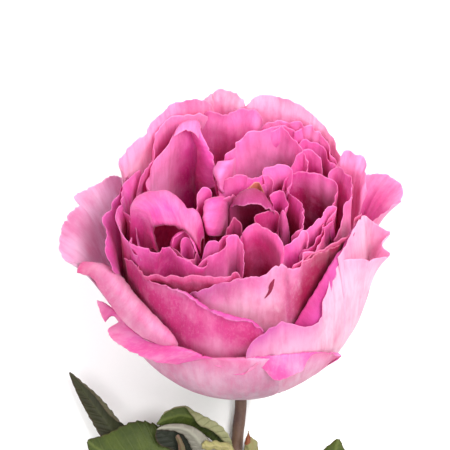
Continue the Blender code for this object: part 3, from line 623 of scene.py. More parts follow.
petal("left_hood", "heart_petal", LEFT_HOOD, None, [
    [(153, 249, 22.2), (149, 235, 27.2), (147.5, 226, 29.8), (144.5, 219, 31.8), (141, 212, 33.4), (139, 207, 34.4),
     (141, 202.5, 35.2), (145.5, 199, 35.8), (151, 197.5, 36.2), (158, 197.5, 36.4), (165, 198, 36.4),
     (171, 200.5, 36), (176.5, 204, 35.4), (181, 209, 34.6), (185.5, 213, 33.8), (190, 214, 33.4),
     (194.5, 218, 32.2), (197.5, 223, 30.8), (199.5, 230, 28.8), (201.5, 240, 25.6)],
    [(155, 250, 22), (151.5, 237, 27.2), (150, 228, 30), (149, 221, 32.4), (148, 215, 34), (148, 211, 35),
     (150, 208, 35.8), (153, 206.5, 36.2), (157, 206, 36.4), (162, 206, 36.5), (167, 206.5, 36.5),
     (172, 209, 36), (176.5, 212.5, 35.4), (180.5, 216.5, 34.6), (184.5, 219.5, 33.8), (188.5, 221, 33),
     (192.5, 224, 31.8), (195.5, 228.5, 30.2), (198, 235, 28), (201, 244, 25)],
    [(157, 252, 21), (153.5, 241, 25.6), (151.8, 233, 28.8), (151.4, 228, 31), (151.6, 225, 32.6), (153.6, 223.4, 33.6),
     (157, 222.8, 34.2), (160.5, 222.6, 34.5), (164, 222.6, 34.6), (168, 222.8, 34.6), (172, 223.4, 34.4),
     (176, 224.3, 34), (179.5, 225.6, 33.6), (182.5, 227.3, 33), (185.5, 229, 32.3), (188.5, 231, 31.5),
     (191.5, 234, 30.4), (194.5, 238.5, 29), (197.5, 244, 27.2), (201, 252, 24.6)],
    [(160, 252, 17), (156, 241, 21.8), (154.5, 233, 25), (154.6, 229, 27.4), (156, 227, 29), (158.5, 226, 30),
     (162, 225.5, 30.6), (164, 225, 31), (167, 225, 31), (170, 225.2, 31), (173, 226, 30.8), (176, 227, 30.4),
     (179, 228.5, 30), (182, 230, 29.4), (184.5, 232, 28.8), (187, 234, 28), (190, 237, 27), (193, 241.5, 25.6),
     (196, 247, 23.6), (199, 254, 21)]],
      ruffle=0.2, frill=0.15, swell=0.2, tone_and_painted_light=(-1, -0.6, -0.5, -0.8, -1, -1), base_tone_and_painted_light=(-1, -0.1, 0.2, 0.2, 0, -0.5),
      purple=0.1, seed=24)
LEFT_FRONT = [(132, 236, 26), (137, 243, 28.5), (143, 244, 29.8), (150, 246, 30.2), (157, 249.5, 30.2),
              (163, 246.5, 30.6), (170, 246, 31), (178, 252, 30.5), (186, 258, 30), (192, 260, 30),
              (200, 262, 29.6), (206, 257, 27)]
petal("left_front", "heart_petal", LEFT_FRONT, None, ruffle=0.4, turns=6, purple=0.3, tone_and_painted_light=(0.2, 0.1, -0.3, -0.2, 0.2),
      base_tone_and_painted_light=-0.5, seed=25)
LEFT_BUD_BACK = [(168, 252, 22), (170, 244, 26.6), (173, 237, 28.4), (178, 232, 29), (185, 229, 29), (188, 231, 28.8),
                 (191, 237, 28.2), (195, 244, 27), (197, 251, 25), (200, 258, 22)]
petal("left_bud_back", "heart_petal", LEFT_BUD_BACK, None, [
    [(170, 253, 22), (172, 246, 27), (175.5, 239.5, 28.8), (179.5, 235, 29.6), (184.5, 232.5, 29.6),
     (187, 234.5, 29.2), (189.5, 239.5, 28.4), (193, 246, 27.2), (195, 252, 25), (198, 258, 22)]],
      ruffle=0.1, swell=0.2, tone_and_painted_light=(-0.2, 0, 0.1, 0), base_tone_and_painted_light=-1, seed=26)
LEFT_BUD_FRONT = [(172, 246, 25), (176, 249, 26), (182, 254, 26.5), (188, 258, 26.5), (194, 256, 26), (198, 250, 25)]
petal("left_bud_front", "heart_petal", LEFT_BUD_FRONT, None, ruffle=0.2, tone_and_painted_light=-0.5, flare=0.3, seed=27)
LEFT_HEART = [(181, 250, 26), (181, 244, 27), (183, 238, 28), (187, 237, 28), (191, 242, 27.5), (194, 250, 26)]
petal("left_heart", "heart_petal", LEFT_HEART, None, ruffle=0.1, tone_and_painted_light=0.1, flare=0.2, seed=28)
TALL_FOLD = [(149, 190, 22), (150, 178, 26), (153, 168, 29.5), (157, 160, 32), (163, 152, 34.2), (169, 145, 35.8),
             (173, 138, 36.8), (178, 132, 37.2), (184, 129, 37.2), (190, 131, 35.4), (194.5, 138, 32),
             (197, 150, 27.5), (197, 162, 22.5)]
petal("tall_fold", "heart_petal", TALL_FOLD, None, ruffle=0.2, swell=0.2, flare=0.8,
      tone_and_painted_light=(0.7, 0.7, 0.6, 0.4, -0.5, -0.8), base_tone_and_painted_light=(0.9, 0.95, 0.7, 0.1, -0.3, -0.3), seed=29)
FOLD_GUTTER = [(191, 134, 32.6), (193.5, 141, 29.8), (196, 149, 26.4), (197, 157, 23.4), (196.5, 167, 19.6),
               (196.5, 178, 15.6), (200, 190, 11)]
petal("fold_right", "heart_petal", FOLD_GUTTER, None, [
    [(196, 130, 36.4), (200, 139, 34), (202.5, 147, 32), (205, 155.5, 30), (206, 167, 26.4), (206.5, 178, 22.4),
     (208.5, 189, 18)],
    [(200, 126, 36.6), (205, 139, 34.4), (210, 149, 32.8), (215, 157, 31), (215, 168, 28), (214.5, 178, 25),
     (216, 187, 22)]],
      node="", ruffle=0.2, swell=0.1, tone_and_painted_light=(0.2, 0, -0.1, -0.1), base_tone_and_painted_light=(0, -0.1, -0.2), turn=-1, seed=51)
FOLD_LIP = [(174, 137, 35.6), (176, 130, 36.6), (180, 125, 37.2), (186, 121.5, 37.4), (192, 120, 37.2),
            (198, 121.5, 36.6), (202, 127, 35.4)]
petal("fold_lip", "heart_petal", FOLD_LIP, None, [
    [(174.5, 136, 37.4), (177.5, 129.5, 38.4), (181.5, 125.5, 39), (187, 123, 39), (192, 122.5, 38.6),
     (197, 124, 37.8), (201, 129, 36.2)],
    [(174, 138, 37.2), (178, 134.5, 38), (182, 132.5, 38.3), (186.5, 131.5, 38), (190.5, 132.5, 37.2),
     (194.5, 134.5, 36), (199, 139, 34.6)]],
      node="", claw=0.3, ruffle=0.15, swell=0.1, frill=0.2, tone_and_painted_light=0.6, base_tone_and_painted_light=0.4, seed=55)
MIDDLE_WALL = [(229, 200, 24), (228, 206, 24), (227, 213, 23.4), (226.5, 220, 22), (225.5, 227, 20), (224, 236, 16)]
petal("middle_wall", "heart_petal", MIDDLE_WALL, None, [
    [(223, 196.5, 27.6), (222.5, 203, 28.2), (222, 211, 27.8), (221.5, 219, 26.6), (220.5, 227, 24.4),
     (219, 236, 20.5)],
    [(215, 197, 29.4), (214, 203.5, 30.4), (213.5, 211, 30.6), (213, 219, 29.6), (213, 227, 27.6), (212.5, 236, 24)],
    [(207.5, 199, 30), (206, 205, 31), (205.5, 212, 31.2), (205.5, 219, 30.4), (206.5, 226, 28.6), (208, 235, 25)],
    [(204, 201.5, 29.2), (203.2, 206, 29.8), (203, 213, 29.8), (203, 219, 29.2), (204.5, 225, 27.8),
     (206, 232, 25)]],
      ruffle=0.15, frill=0.15, swell=0.1, tone_and_painted_light=(0, 0.1, -0.1), base_tone_and_painted_light=(-0.3, -0.6), seed=30)
WALL_BACK = [(197.5, 216, 26), (197.8, 206, 28.6), (198, 197, 30.2), (200, 190.5, 31), (204, 187.5, 31.2),
             (207.5, 190, 30.6), (209, 196, 29), (210, 204, 26)]
petal("wall_back", "heart_petal", WALL_BACK, None, node="", claw=0.3, ruffle=0.15, frill=0.2, flare=0.5,
      tone_and_painted_light=(0.2, 0.3, 0), base_tone_and_painted_light=(0, -0.6), seed=53)
FRONT_CURL = [(194, 270, 25), (199, 265, 26.8), (205, 260, 28), (211, 256.5, 29), (217, 253.5, 29.5),
              (223, 250, 30), (228, 244, 30.5), (229, 238, 31), (233, 234.5, 31), (237, 235.5, 30.5),
              (240, 242, 29), (242, 251, 27.4), (242.5, 262, 25), (242, 272, 22)]
petal("front_curl", "heart_petal", FRONT_CURL, None, ruffle=0.2, flare=0.5, frill=0.25, tone_and_painted_light=(0.4, 0.3, 0.3, 0.4, 0.2),
      base_tone_and_painted_light=(0.3, 0.4, 0.6, 0.5, 0.1), seed=31)
CURL_BACK = [(200, 262, 23), (204, 252, 26.5), (206, 244, 28.5), (210, 240.5, 29.5), (215, 241, 29.5),
             (219, 244, 29), (222, 241, 29), (226, 237, 29), (231, 234.5, 29), (236, 234, 28.5), (240, 240, 26)]
petal("curl_back", "heart_petal", CURL_BACK, None, node="", ruffle=0.2, flare=0.3, claw=0.25,
      tone_and_painted_light=(-0.2, 0, -0.3, 0), base_tone_and_painted_light=-0.9, purple=(0.8, 0.7, 0, 0), seed=40)
FRONT_HOOD = [(240, 251, 24.4), (242, 243, 26.4), (245, 238, 28.4), (249, 234, 29.6), (254, 231.8, 30), (258.5, 232, 30),
              (262, 233.6, 29.8), (266, 235.6, 29.6), (270, 238.5, 29.4), (274, 242, 29), (277, 246, 28.4),
              (279.5, 251, 27.6), (281, 256, 26.8), (281.5, 261, 25.8), (281, 266, 24.4), (280, 272, 22.4)]
petal("front_hood", "heart_petal", FRONT_HOOD, None, [
    [(238.5, 246, 25.8), (240, 238, 28.2), (243, 231, 30), (248, 226, 31.2), (253, 223, 31.7), (258, 222.4, 31.8),
     (261.5, 226.2, 31.5), (265, 226.8, 31.4), (270, 229.2, 31.2), (275, 232.2, 31), (279.5, 236, 30.4),
     (282.5, 241, 29.6), (284.4, 247, 28.6), (284.8, 253, 27.6), (284, 260, 26.2), (283, 268, 23.4)]],
      ruffle=0.15, frill=0.2, swell=0.2, tone_and_painted_light=(-0.2, 0.4, 0.4, 0.3, 0.4, 0.5), base_tone_and_painted_light=(-0.9, -0.9, -0.7, -0.2, 0.5, 0.3, -0.2),
      purple=(0.5, 0.4, 0.2, 0.2, 0), purple_depth=3.5, look="valley_shade", seed=32)
BACK_HOOD = [(222, 188, 24), (222, 178, 27.5), (226, 168, 30), (232, 160, 32), (236, 153, 33.2), (243, 144, 34.5),
             (248, 137.5, 35), (255, 133, 35.5), (264, 131, 35.5), (276, 132, 35), (288, 138, 34), (297, 148, 32.5),
             (301, 160, 30.5), (302, 172, 27)]
petal("back_hood", "heart_petal", BACK_HOOD, None, flare=2.2, flare_reach=12, ruffle=0.5, frill=0.35,
      tone_and_painted_light=(0.2, 0.3, 0.5, 0.4, 0.2), base_tone_and_painted_light=(0.3, 0.5, 0.7, 0.4), seed=33)
CORNER_FOLD = [(292, 170, 28), (297, 160, 31), (302, 153, 32.6), (308, 150, 33), (313, 154, 32.6), (318, 161, 31.6),
               (321, 169, 29)]
petal("corner_fold", "heart_petal", CORNER_FOLD, None, node="", claw=0.3, ruffle=0.2, frill=0.3, flare=0.8,
      tone_and_painted_light=0.3, base_tone_and_painted_light=-0.4, seed=54)
SIDE_CURL = [(225, 194, 24), (222, 187, 27.5), (223, 179, 30), (226, 171, 31.5), (231, 164, 32.5), (237, 158, 32)]
petal("side_curl", "heart_petal", SIDE_CURL, None, [
    [(222, 192, 25), (219.5, 186, 28.6), (219, 179, 31.5), (221, 171, 33.2), (226, 163, 34), (234, 157, 33)],
    [(220, 188, 25.5), (217, 182, 28), (214, 176, 30), (213.5, 169, 31.6), (217, 162.5, 32.6), (229, 158, 32)]],
      ruffle=0.15, frill=0.1, tone_and_painted_light=0.5, base_tone_and_painted_light=0.2, seed=34)
RIGHT_RUFFLE = [(270, 216, 23), (273, 206, 26), (274, 198, 28), (276, 194, 29), (280, 194.5, 29.5),
                (284, 197, 29.5), (287, 200, 29.5), (286, 204, 29), (283, 208, 28), (281, 216, 25)]
petal("right_ruffle", "heart_petal", RIGHT_RUFFLE, None, ruffle=0.5, frill=0.35, base_tone_and_painted_light=-0.7, seed=35)
RIGHT_TALL = [(264, 198, 22), (265, 187, 26.5), (266, 179, 29), (270, 171.5, 31), (275, 166, 32), (279, 164, 32.5),
              (283, 166, 32), (286, 172, 31), (286, 181, 29), (285, 190, 26.5), (287, 200, 22)]
petal("right_tall", "heart_petal", RIGHT_TALL, None, node="", claw=0.25, ruffle=0.35, flare=1.8,
      tone_and_painted_light=(-0.1, 0.1, 0.2, 0.3), base_tone_and_painted_light=(-0.2, -0.9, -0.6), seed=41)
RIGHT_LANCE = [(277, 238, 15), (277.5, 230, 19.5), (278.5, 222, 23), (280.5, 214, 27), (283, 209, 30.5),
               (285.5, 213, 28.5), (287.5, 220, 25), (289, 228, 21.5), (289, 238, 16)]
petal("right_lance", "heart_petal", RIGHT_LANCE, None, node="", claw=0.3, ruffle=0.25, swell=0.2, flare=0,
      tone_and_painted_light=0.2, base_tone_and_painted_light=0.1, seed=42)
POCKET_EDGE = [(285, 190, 24), (290, 196, 28), (295, 199, 29), (299, 203, 29.5), (300.5, 211, 29.5),
               (299.5, 220, 29), (297, 228, 28), (291, 236, 25)]
petal("pocket_edge", "heart_petal", POCKET_EDGE, None, node="", claw=0.25, ruffle=0.5, frill=0.35, base_tone_and_painted_light=-0.9,
      tone_and_painted_light=-0.1, seed=43)
SMALL_MUTED = [(264, 234, 20), (261.5, 227, 22.8), (258.5, 219.5, 25.4), (257, 215.8, 26.4), (260, 213, 26.8),
               (264, 211, 27.2), (268, 210.2, 27.2), (272, 211.2, 26.9), (275.5, 213.6, 26.4), (277.5, 218, 25),
               (279, 230, 20)]
petal("small_muted", "heart_petal", SMALL_MUTED, None, node="", claw=0.2, ruffle=0.15, frill=0.2, flare=0.4, tone_and_painted_light=0,
      base_tone_and_painted_light=-0.4, look="valley_shade", seed=44)
SMALL_DARK = [(226, 240, 21), (227.5, 232, 23.5), (230, 223, 26), (233.5, 216.5, 27.6), (237, 220, 27.5),
              (240.5, 224.5, 27), (243, 230, 26), (244, 239, 23)]
petal("small_dark", "heart_petal", SMALL_DARK, None, node="", claw=0.2, ruffle=0.15, frill=0.2, flare=0.2, tone_and_painted_light=-0.3,
      base_tone_and_painted_light=-0.6, look="valley_shade", seed=45)
RIGHT_HEART_BACK = [(221, 198, 24), (223, 188, 27.5), (225, 183, 29.5), (229, 180, 30.5), (234, 178, 31),
                    (241, 177, 31), (247, 179, 31), (253, 179, 30.5), (260, 180, 30), (266, 178, 29.5),
                    (270, 190, 26)]
petal("right_heart_back", "heart_petal", RIGHT_HEART_BACK, None, ruffle=0.3, flare=1.8, tone_and_painted_light=(0.3, 0.4, 0.1, -0.3),
      base_tone_and_painted_light=(0, 0, -0.5, -0.8), seed=36)
LIGHT_CURL = [(213, 202, 24), (217, 198, 27), (222, 195, 28.5), (227, 192.5, 29), (231, 191.5, 29),
              (235, 194, 27.5), (237, 200, 24)]
petal("light_curl", "heart_petal", LIGHT_CURL, None, node="", claw=0.25, ruffle=0.15, flare=1.5, flare_reach=4,
      tone_and_painted_light=(-0.2, 0.1, 0.6, 0.2), base_tone_and_painted_light=-0.3, seed=46)
RIGHT_HEART_FRONT = [(229, 210, 23), (231, 203, 26.5), (235, 196.5, 29), (240, 191.5, 30), (246, 189, 30.5),
                     (252, 188.5, 30.5), (258, 190, 30), (264, 194, 29.5), (269, 201, 28), (273, 208, 26.5),
                     (277, 216, 23)]
petal("right_heart_front", "heart_petal", RIGHT_HEART_FRONT, None, [
    [(230, 210, 23), (233, 204, 27), (237, 200, 30), (242, 197.5, 31.4), (247, 196, 32), (252, 196, 32),
     (257, 197, 31.5), (263, 200.5, 30.4), (268, 205, 28.8), (273, 210, 26.8), (277, 217, 23)],
    [(231, 210, 23), (234, 206.5, 27), (238, 206, 30), (243, 206.5, 31.4), (248, 206, 32), (252, 205, 32),
     (257, 205, 31.5), (262, 207.5, 30.2), (267, 210, 28.6), (272, 213, 26.4), (276, 219, 23)]],
      ruffle=0.2, swell=0.2, tone_and_painted_light=-0.7, base_tone_and_painted_light=-0.9, purple=0.5, purple_depth=5, look="valley_shade", seed=37)
RIGHT_HEART = [(246, 194, 26), (247, 188, 29), (250, 184, 30.2), (254, 181.8, 30.6), (258, 182.5, 30.4),
               (261, 186, 29.6), (264, 190, 28), (265, 196, 25)]
petal("right_heart", "heart_petal", RIGHT_HEART, None, ruffle=0.15, frill=0.4, flare=0.2, look="petaloid", seed=38)
POCKET_WALL = [(285, 202, 22), (285.5, 190, 26), (289, 178, 28.6), (295, 172.5, 29.8), (301, 170, 30.2),
               (309, 172.5, 30.2), (315, 173.5, 30.2), (320, 174.5, 30), (325, 178, 29.8), (331, 180.5, 29.4),
               (334.5, 184, 29), (335, 190, 28), (333, 198, 26.6), (331, 207, 24.5), (328, 216, 22)]
petal("pocket_wall", "heart_petal", POCKET_WALL, None, flare=0.8, flare_reach=8, ruffle=0.3, swell=0.2,
      tone_and_painted_light=(-0.4, -0.3, -0.2, 0), base_tone_and_painted_light=-1, seed=39)
RIPPLE_LEFT = [(262, 144, 29), (266, 136, 32.5), (272, 131.5, 34), (280, 130, 34.5), (288, 130.5, 34.3),
               (294, 134, 33.8), (300, 131.5, 34), (307, 129, 33.5), (313, 133, 32.5), (316, 146, 28)]
petal("ripple_left", "heart_petal", RIPPLE_LEFT, None, node="", claw=0.3, ruffle=0.6, frill=0.4, flare=1.5,
      tone_and_painted_light=(0.3, 0.4, 0.2, 0.1), base_tone_and_painted_light=-0.2, seed=47)
RIPPLE_RIGHT = [(296, 158, 27), (299, 147, 30.5), (305, 141, 32), (312, 142, 32), (319, 147, 31.5),
                (325, 153, 31), (330, 162, 29.5), (332, 175, 26)]
petal("ripple_right", "heart_petal", RIPPLE_RIGHT, None, node="", claw=0.3, ruffle=0.6, frill=0.4, flare=1.2,
      tone_and_painted_light=0.2, base_tone_and_painted_light=-0.4, seed=48)
RIGHT_TIP = [(300, 242, 25), (306, 233, 28), (311, 227.5, 29.4), (316, 222, 30.2), (320, 218, 30.6),
             (325, 215, 31), (329, 210, 31.4), (331, 206, 31.6), (334, 207, 31.6), (333, 210, 31),
             (329, 215, 30.2), (326, 220, 29), (324, 230, 26)]
petal("right_tip", "heart_petal", RIGHT_TIP, None, node="", claw=0.3, ruffle=0.5, frill=0.4, flare=0.8,
      tone_and_painted_light=0.4, base_tone_and_painted_light=-0.9, seed=49)
RIGHT_MID = [(299, 254, 24), (305, 246, 27.4), (310, 241, 28.8), (315, 236, 29.6), (319, 231, 30), (323, 225, 30.2),
             (328, 219, 30.2), (332, 214, 29.8), (334, 219, 28.6), (331, 229, 26)]
petal("right_mid", "heart_petal", RIGHT_MID, None, node="", claw=0.3, ruffle=0.6, frill=0.5, flare=0.8,
      tone_and_painted_light=0.2, base_tone_and_painted_light=-1, seed=56)
RIGHT_LOW = [(282, 263, 24), (284.5, 255, 27.4), (287, 247, 29), (291, 242.5, 29.8), (295, 239, 30.2),
             (299, 234, 30.6), (303, 231, 30.8), (305.5, 231.5, 30.4), (307, 238, 29), (306, 250, 25)]
petal("right_low", "heart_petal", RIGHT_LOW, None, node="", claw=0.3, ruffle=0.3, frill=0.35, flare=0.6,
      tone_and_painted_light=(0, 0.1, 0.8, 0.7), base_tone_and_painted_light=(-0.2, -0.4, 0.2), seed=50)

# Leaves: points are (pixel across, pixel down, height over the table in millimetres), or places from the cup

TABLE = -CUP[2]


def on_table(px, py, height):
    """Place from the cup, in millimetres, that shows at this pixel at this height over the table."""
    near = TABLE + height
    shrink = PIXEL * (CAMERA_RISE - near) / CAMERA_RISE
    return (CAMERA_ACROSS + (px - HALF) * shrink, CAMERA_UP - (py - HALF) * shrink, near)


def lying(points):
    """Places from the cup along +X, +Y and +Z as flower points."""
    x, y, z = np.moveaxis(np.asarray(points, float), -1, 0)
    return np.stack([x, (y - z) * LEAN, (y + z) * LEAN], -1)


def shade_in_slit(name, base, centre, half_widths, look):
    """A dark sheet painted as the shade seen through a slit in a petal, laid on the side that the camera sees. Widths
    and places are in pixels.
    """
    mesh = base.data
    tree = BVHTree.FromPolygons([v.co for v in mesh.vertices], [tuple(f.vertices) for f in mesh.polygons])
    eye = Vector((CUP + (CAMERA_ACROSS, CAMERA_UP, CAMERA_RISE)) * MM)
    marks, places, length = line_places(centre, SLIT_ROWS)
    middle = spline_at(marks, centre, places)
    half = spline_at(marks, half_widths, places)
    side = np.linspace(-1, 1, SLIT_COLUMNS)
    grid = np.empty((SLIT_ROWS, SLIT_COLUMNS, 3))
    for i, (px, py) in enumerate(middle):
        for j in range(SLIT_COLUMNS):
            aim = Vector(to_world(spot(px + side[j] * half[i], py, 0)))
            hit = tree.ray_cast(eye, (aim - eye).normalized())[0]
            grid[i, j] = np.array(hit) / MM - CUP + (0, 0, SLIT_LIFT)
    share = np.linspace(0, 1, SLIT_ROWS)[:, None] + 0 * side
    place = np.stack([0 * share + side, share * length * PIXEL, 0 * share], -1)
    tint = np.stack([0 * share + 1, 0 * share, 0 * share], -1)
    thick = np.full(share.shape, SLIT_THICKNESS)
    piece = sheet_mesh(name, lying(grid), thick, place, tint, tint)
    piece.data.materials.append(MATERIALS[look])
    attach(piece, "root")
    return piece


SLIT_ROWS = 40
SLIT_COLUMNS = 7
SLIT_LIFT = 0.25
SLIT_THICKNESS = 0.12
FOLD_SLIT = [(274.3, 279), (272.3, 283), (271, 287), (270.3, 290.5), (268.3, 294), (264.8, 298.3)]
FOLD_SLIT_HALF_WIDTHS = [0.3, 1.7, 2.2, 1.6, 1.3, 0.3]
# Painted shade in the front fold's slit.
shade_in_slit("look_petal_fold_slit", front_fold, FOLD_SLIT, FOLD_SLIT_HALF_WIDTHS, "slit_shade")


def leaf_piece(name, points, along, tone_and_painted_light, look, node, thickness=0.3):
    """A closed leaf sheet round a grid of flower points: rows from foot to tip, columns from edge to edge."""
    rows, columns, _ = points.shape
    run = np.cumsum(np.linalg.norm(np.diff(points, axis=1, prepend=points[:, :1]), axis=2), axis=1)
    across = run - run[:, columns // 2][:, None]
    edge = np.minimum(run, run[:, -1][:, None] - run)
    reach = np.repeat(along[:, None], columns, 1)
    side = np.abs(np.linspace(-1, 1, columns))[None, :] + 0 * run
    rise = 0.22 * np.exp(-((across / 0.7) ** 2))
    slanted = reach - 0.8 * np.abs(across)
    rise = rise + 0.14 * np.cos(2 * np.pi * slanted / VEIN_STEP) * smooth_step(0.2, 2.0, np.abs(across))
    points = points - sheet_normals(points) * rise[..., None]
    place = np.stack([across, reach, 0 * run], -1)
    tint = np.stack([edge, 0 * run + tone_and_painted_light, side], -1)
    thick = thickness * (0.4 + 0.6 * smooth_step(0, 1.2, edge))
    piece = sheet_mesh(name, points, thick, place, tint, 0 * tint)
    piece.data.materials.append(MATERIALS[look])
    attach(piece, "root")
    if node:
        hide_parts(node)
    return piece


SEPAL_AZIMUTHS = (18, 90, 162, 234, 306)
SEPAL_RADIUS = 44.0
SEPAL_HALF_WIDTH = math.radians(20)
SEPAL_TIP_HALF_WIDTH = 0.03
SEPAL_TAPER = 0.7
SEPAL_REACH = math.radians(36)
VEIN_STEP = 3.6
LEAF_ROWS = 96
HALF_COLUMNS = 12
TOOTH = 2.6


def leaflet(name, start, tip, half_width, arch, fold=(12, 14, 10), curl=(-25, -30, -40), twist=0.0, tone_and_painted_light=0.0,
            node=None, seed=0, curl_left=None, left_share=1.0, roll=0.0):
    """A toothed blade on a short stalk, arched along its midrib, with both halves bent across.

    The left half may be narrower, and the right half's edge may roll up and show its underside.
    """
    start, tip = np.array(start, float), np.array(tip, float)
    length = np.linalg.norm(tip - start)
    share = np.linspace(0, 1, LEAF_ROWS)
    along = (tip - start) / length
    level = np.cross(along, (0, 0, 1))
    level /= np.linalg.norm(level)
    over = np.cross(level, along)
    swing = np.radians(twist) * share
    sideways = level * np.cos(swing)[:, None] + over * np.sin(swing)[:, None]
    upwards = over * np.cos(swing)[:, None] - level * np.sin(swing)[:, None]
    bend = 0.6 * waves(seed + 1, share, 0 * share, 3, 1.2)
    middle = start + (tip - start) * share[:, None] + over * (arch * np.sin(np.pi * share))[:, None]
    middle = middle + level * bend[:, None] * smooth_step(0, 0.4, share)[:, None]
    blade = np.clip((share - 0.06) / 0.94, 0, 1)
    width = half_width * np.maximum(np.sin(np.pi * blade**0.8), 0) ** 0.9
    halves = []
    for half, curls in ((-1, curl_left or curl), (1, curl)):
        phase = share * length / TOOTH + 0.5 * half
        saw = np.mod(phase, 1.0)
        teeth = 1 + 0.055 * (saw - 0.5) * smooth_step(0.1, 0.3, share)
        reach = (width * teeth + 0.45)[:, None] * np.linspace(0, 1, HALF_COLUMNS + 1)[None, :]
        if half < 0:
            reach = reach * left_share
        part = np.linspace(0, 1, HALF_COLUMNS + 1)[None, :]
        turn = np.radians(spread(fold, LEAF_ROWS))[:, None] + np.radians(spread(curls, LEAF_ROWS))[:, None] * part
        if half > 0:
            turn = turn + math.radians(roll) * smooth_step(0.7, 0.85, part) * smooth_step(0.45, 0.7, share)[:, None]
        turn = turn + 0.22 * waves(seed + 2 + half, share[:, None], part * 0.3, 4, 2.5) * part
        step = np.diff(reach, axis=1)
        out = np.cumsum(step * np.cos(turn[:, 1:]), axis=1)
        up = np.cumsum(step * np.sin(turn[:, 1:]), axis=1)
        forward = 0.22 * reach[:, 1:]
        wing = middle[:, None] + half * out[..., None] * sideways[:, None] + up[..., None] * upwards[:, None]
        halves.append(wing + forward[..., None] * along * smooth_step(0.05, 0.2, share)[:, None, None])
    grid = np.concatenate([halves[0][:, ::-1], middle[:, None], halves[1]], axis=1)
    floor_level = TABLE + 0.35
    grid[..., 2] = floor_level + np.logaddexp(0, (grid[..., 2] - floor_level) * 3) / 3
    return leaf_piece("look_" + name, lying(grid[:, ::-1]), share * length, tone_and_painted_light, "leaf", node or name)


def lofted_leaf(name, lines, tone_and_painted_light=0.0, node=None, look="leaf", rows=60, columns=33):
    """A blade drawn by lines from its one edge over its middle to the other, each from foot to tip."""
    drawn = np.array([[on_table(*p) for p in line] for line in lines])
    marks, places, length = line_places(drawn[len(lines) // 2], rows)
    stations = np.array([spline_at(marks, line, places) for line in drawn])
    across, _ = along_rows(stations, np.linspace(0, 1, columns))
    grid = np.swapaxes(across, 0, 1)
    return leaf_piece("look_" + name, lying(grid), np.linspace(0, length, rows), tone_and_painted_light, look, node, 0.3)


def sepal(number, azimuth):
    """A pointed sepal against the back of the cup, keeled and a little wavy, with a ragged edge."""
    share = np.linspace(0, 1, 44)[:, None]
    side = np.linspace(-1, 1, 19)[None, :]
    fall = CLAW_FALL + (SEPAL_REACH - CLAW_FALL) * share
    ragged_edge = 1 + 0.12 * waves(80 + number, share, 0 * share, 4, 5) * smooth_step(0.1, 0.4, share)
    half = (SEPAL_HALF_WIDTH * (1 - share) ** SEPAL_TAPER + SEPAL_TIP_HALF_WIDTH) * ragged_edge
    angle = math.radians(azimuth) + side * half
    plan = SEPAL_RADIUS * np.stack([np.cos(angle), np.sin(angle)], -1)
    points = from_plan(plan, fall + 0 * side, 0 * angle)
    keel = 0.5 * np.exp(-((side / 0.25) ** 2)) * (1 - share) + 0.25 * waves(90 + number, share, side * 0.4, 4, 2.5) * np.abs(side)
    points = points + sheet_normals(points) * keel[..., None]
    length = CUP_RADIUS * (SEPAL_REACH - CLAW_FALL)
    return leaf_piece(f"look_sepal_{number}", points, share[:, 0] * length, 0, "sepal", f"sepal_{number}", 0.5)


def stalk_piece(node, route, first, last, look, knots=(), rings=120, sides=28, seed=0):
    """A round stalk through places from the cup, slightly uneven, thicker at its knots, closed at both ends."""
    route = np.array(route, float)
    marks, places, length = line_places(route, rings)
    line = spline_at(marks, route, places)
    along = np.gradient(line, axis=0)
    along /= np.linalg.norm(along, axis=1, keepdims=True)
    level = np.cross(along, (0, 0, 1))
    level /= np.linalg.norm(level, axis=1, keepdims=True)
    over = np.cross(level, along)
    share = np.linspace(0, 1, rings)[:, None]
    angle = np.linspace(0, 2 * np.pi, sides, endpoint=False)[None, :]
    radius = first + (last - first) * share
    radius = radius * (1 + 0.035 * waves(seed, share, angle * 0.15 * np.sin(angle), 5, length / 9))
    for place, swell, reach in knots:
        radius = radius + swell * np.exp(-(((share - place) * length / reach) ** 2))
    points = line[:, None] + radius[..., None] * (
        np.cos(angle)[..., None] * level[:, None] + np.sin(angle)[..., None] * over[:, None])
    points = np.concatenate([points.reshape(-1, 3), line[:1], line[-1:]])
    index = np.arange(rings * sides).reshape(rings, sides)
    after = np.roll(index, -1, axis=1)
    faces = np.stack([index[:-1], index[1:], after[1:], after[:-1]], -1).reshape(-1, 4).tolist()
    foot, head = rings * sides, rings * sides + 1
    faces += [(foot, a, b) for a, b in zip(index[0], after[0])]
    faces += [(head, b, a) for a, b in zip(index[-1], after[-1])]
    mesh = bpy.data.meshes.new("look_" + node)
    mesh.from_pydata(((points + CUP) * MM).tolist(), [], [tuple(int(i) for i in f) for f in faces])
    mesh.shade_smooth()
    mesh.set_sharp_from_angle(angle=1.0)
    mesh.materials.append(MATERIALS[look])
    piece = bpy.data.objects.new("look_" + node, mesh)
    bpy.context.scene.collection.objects.link(piece)
    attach(piece, "root")
    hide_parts(node)
    return piece


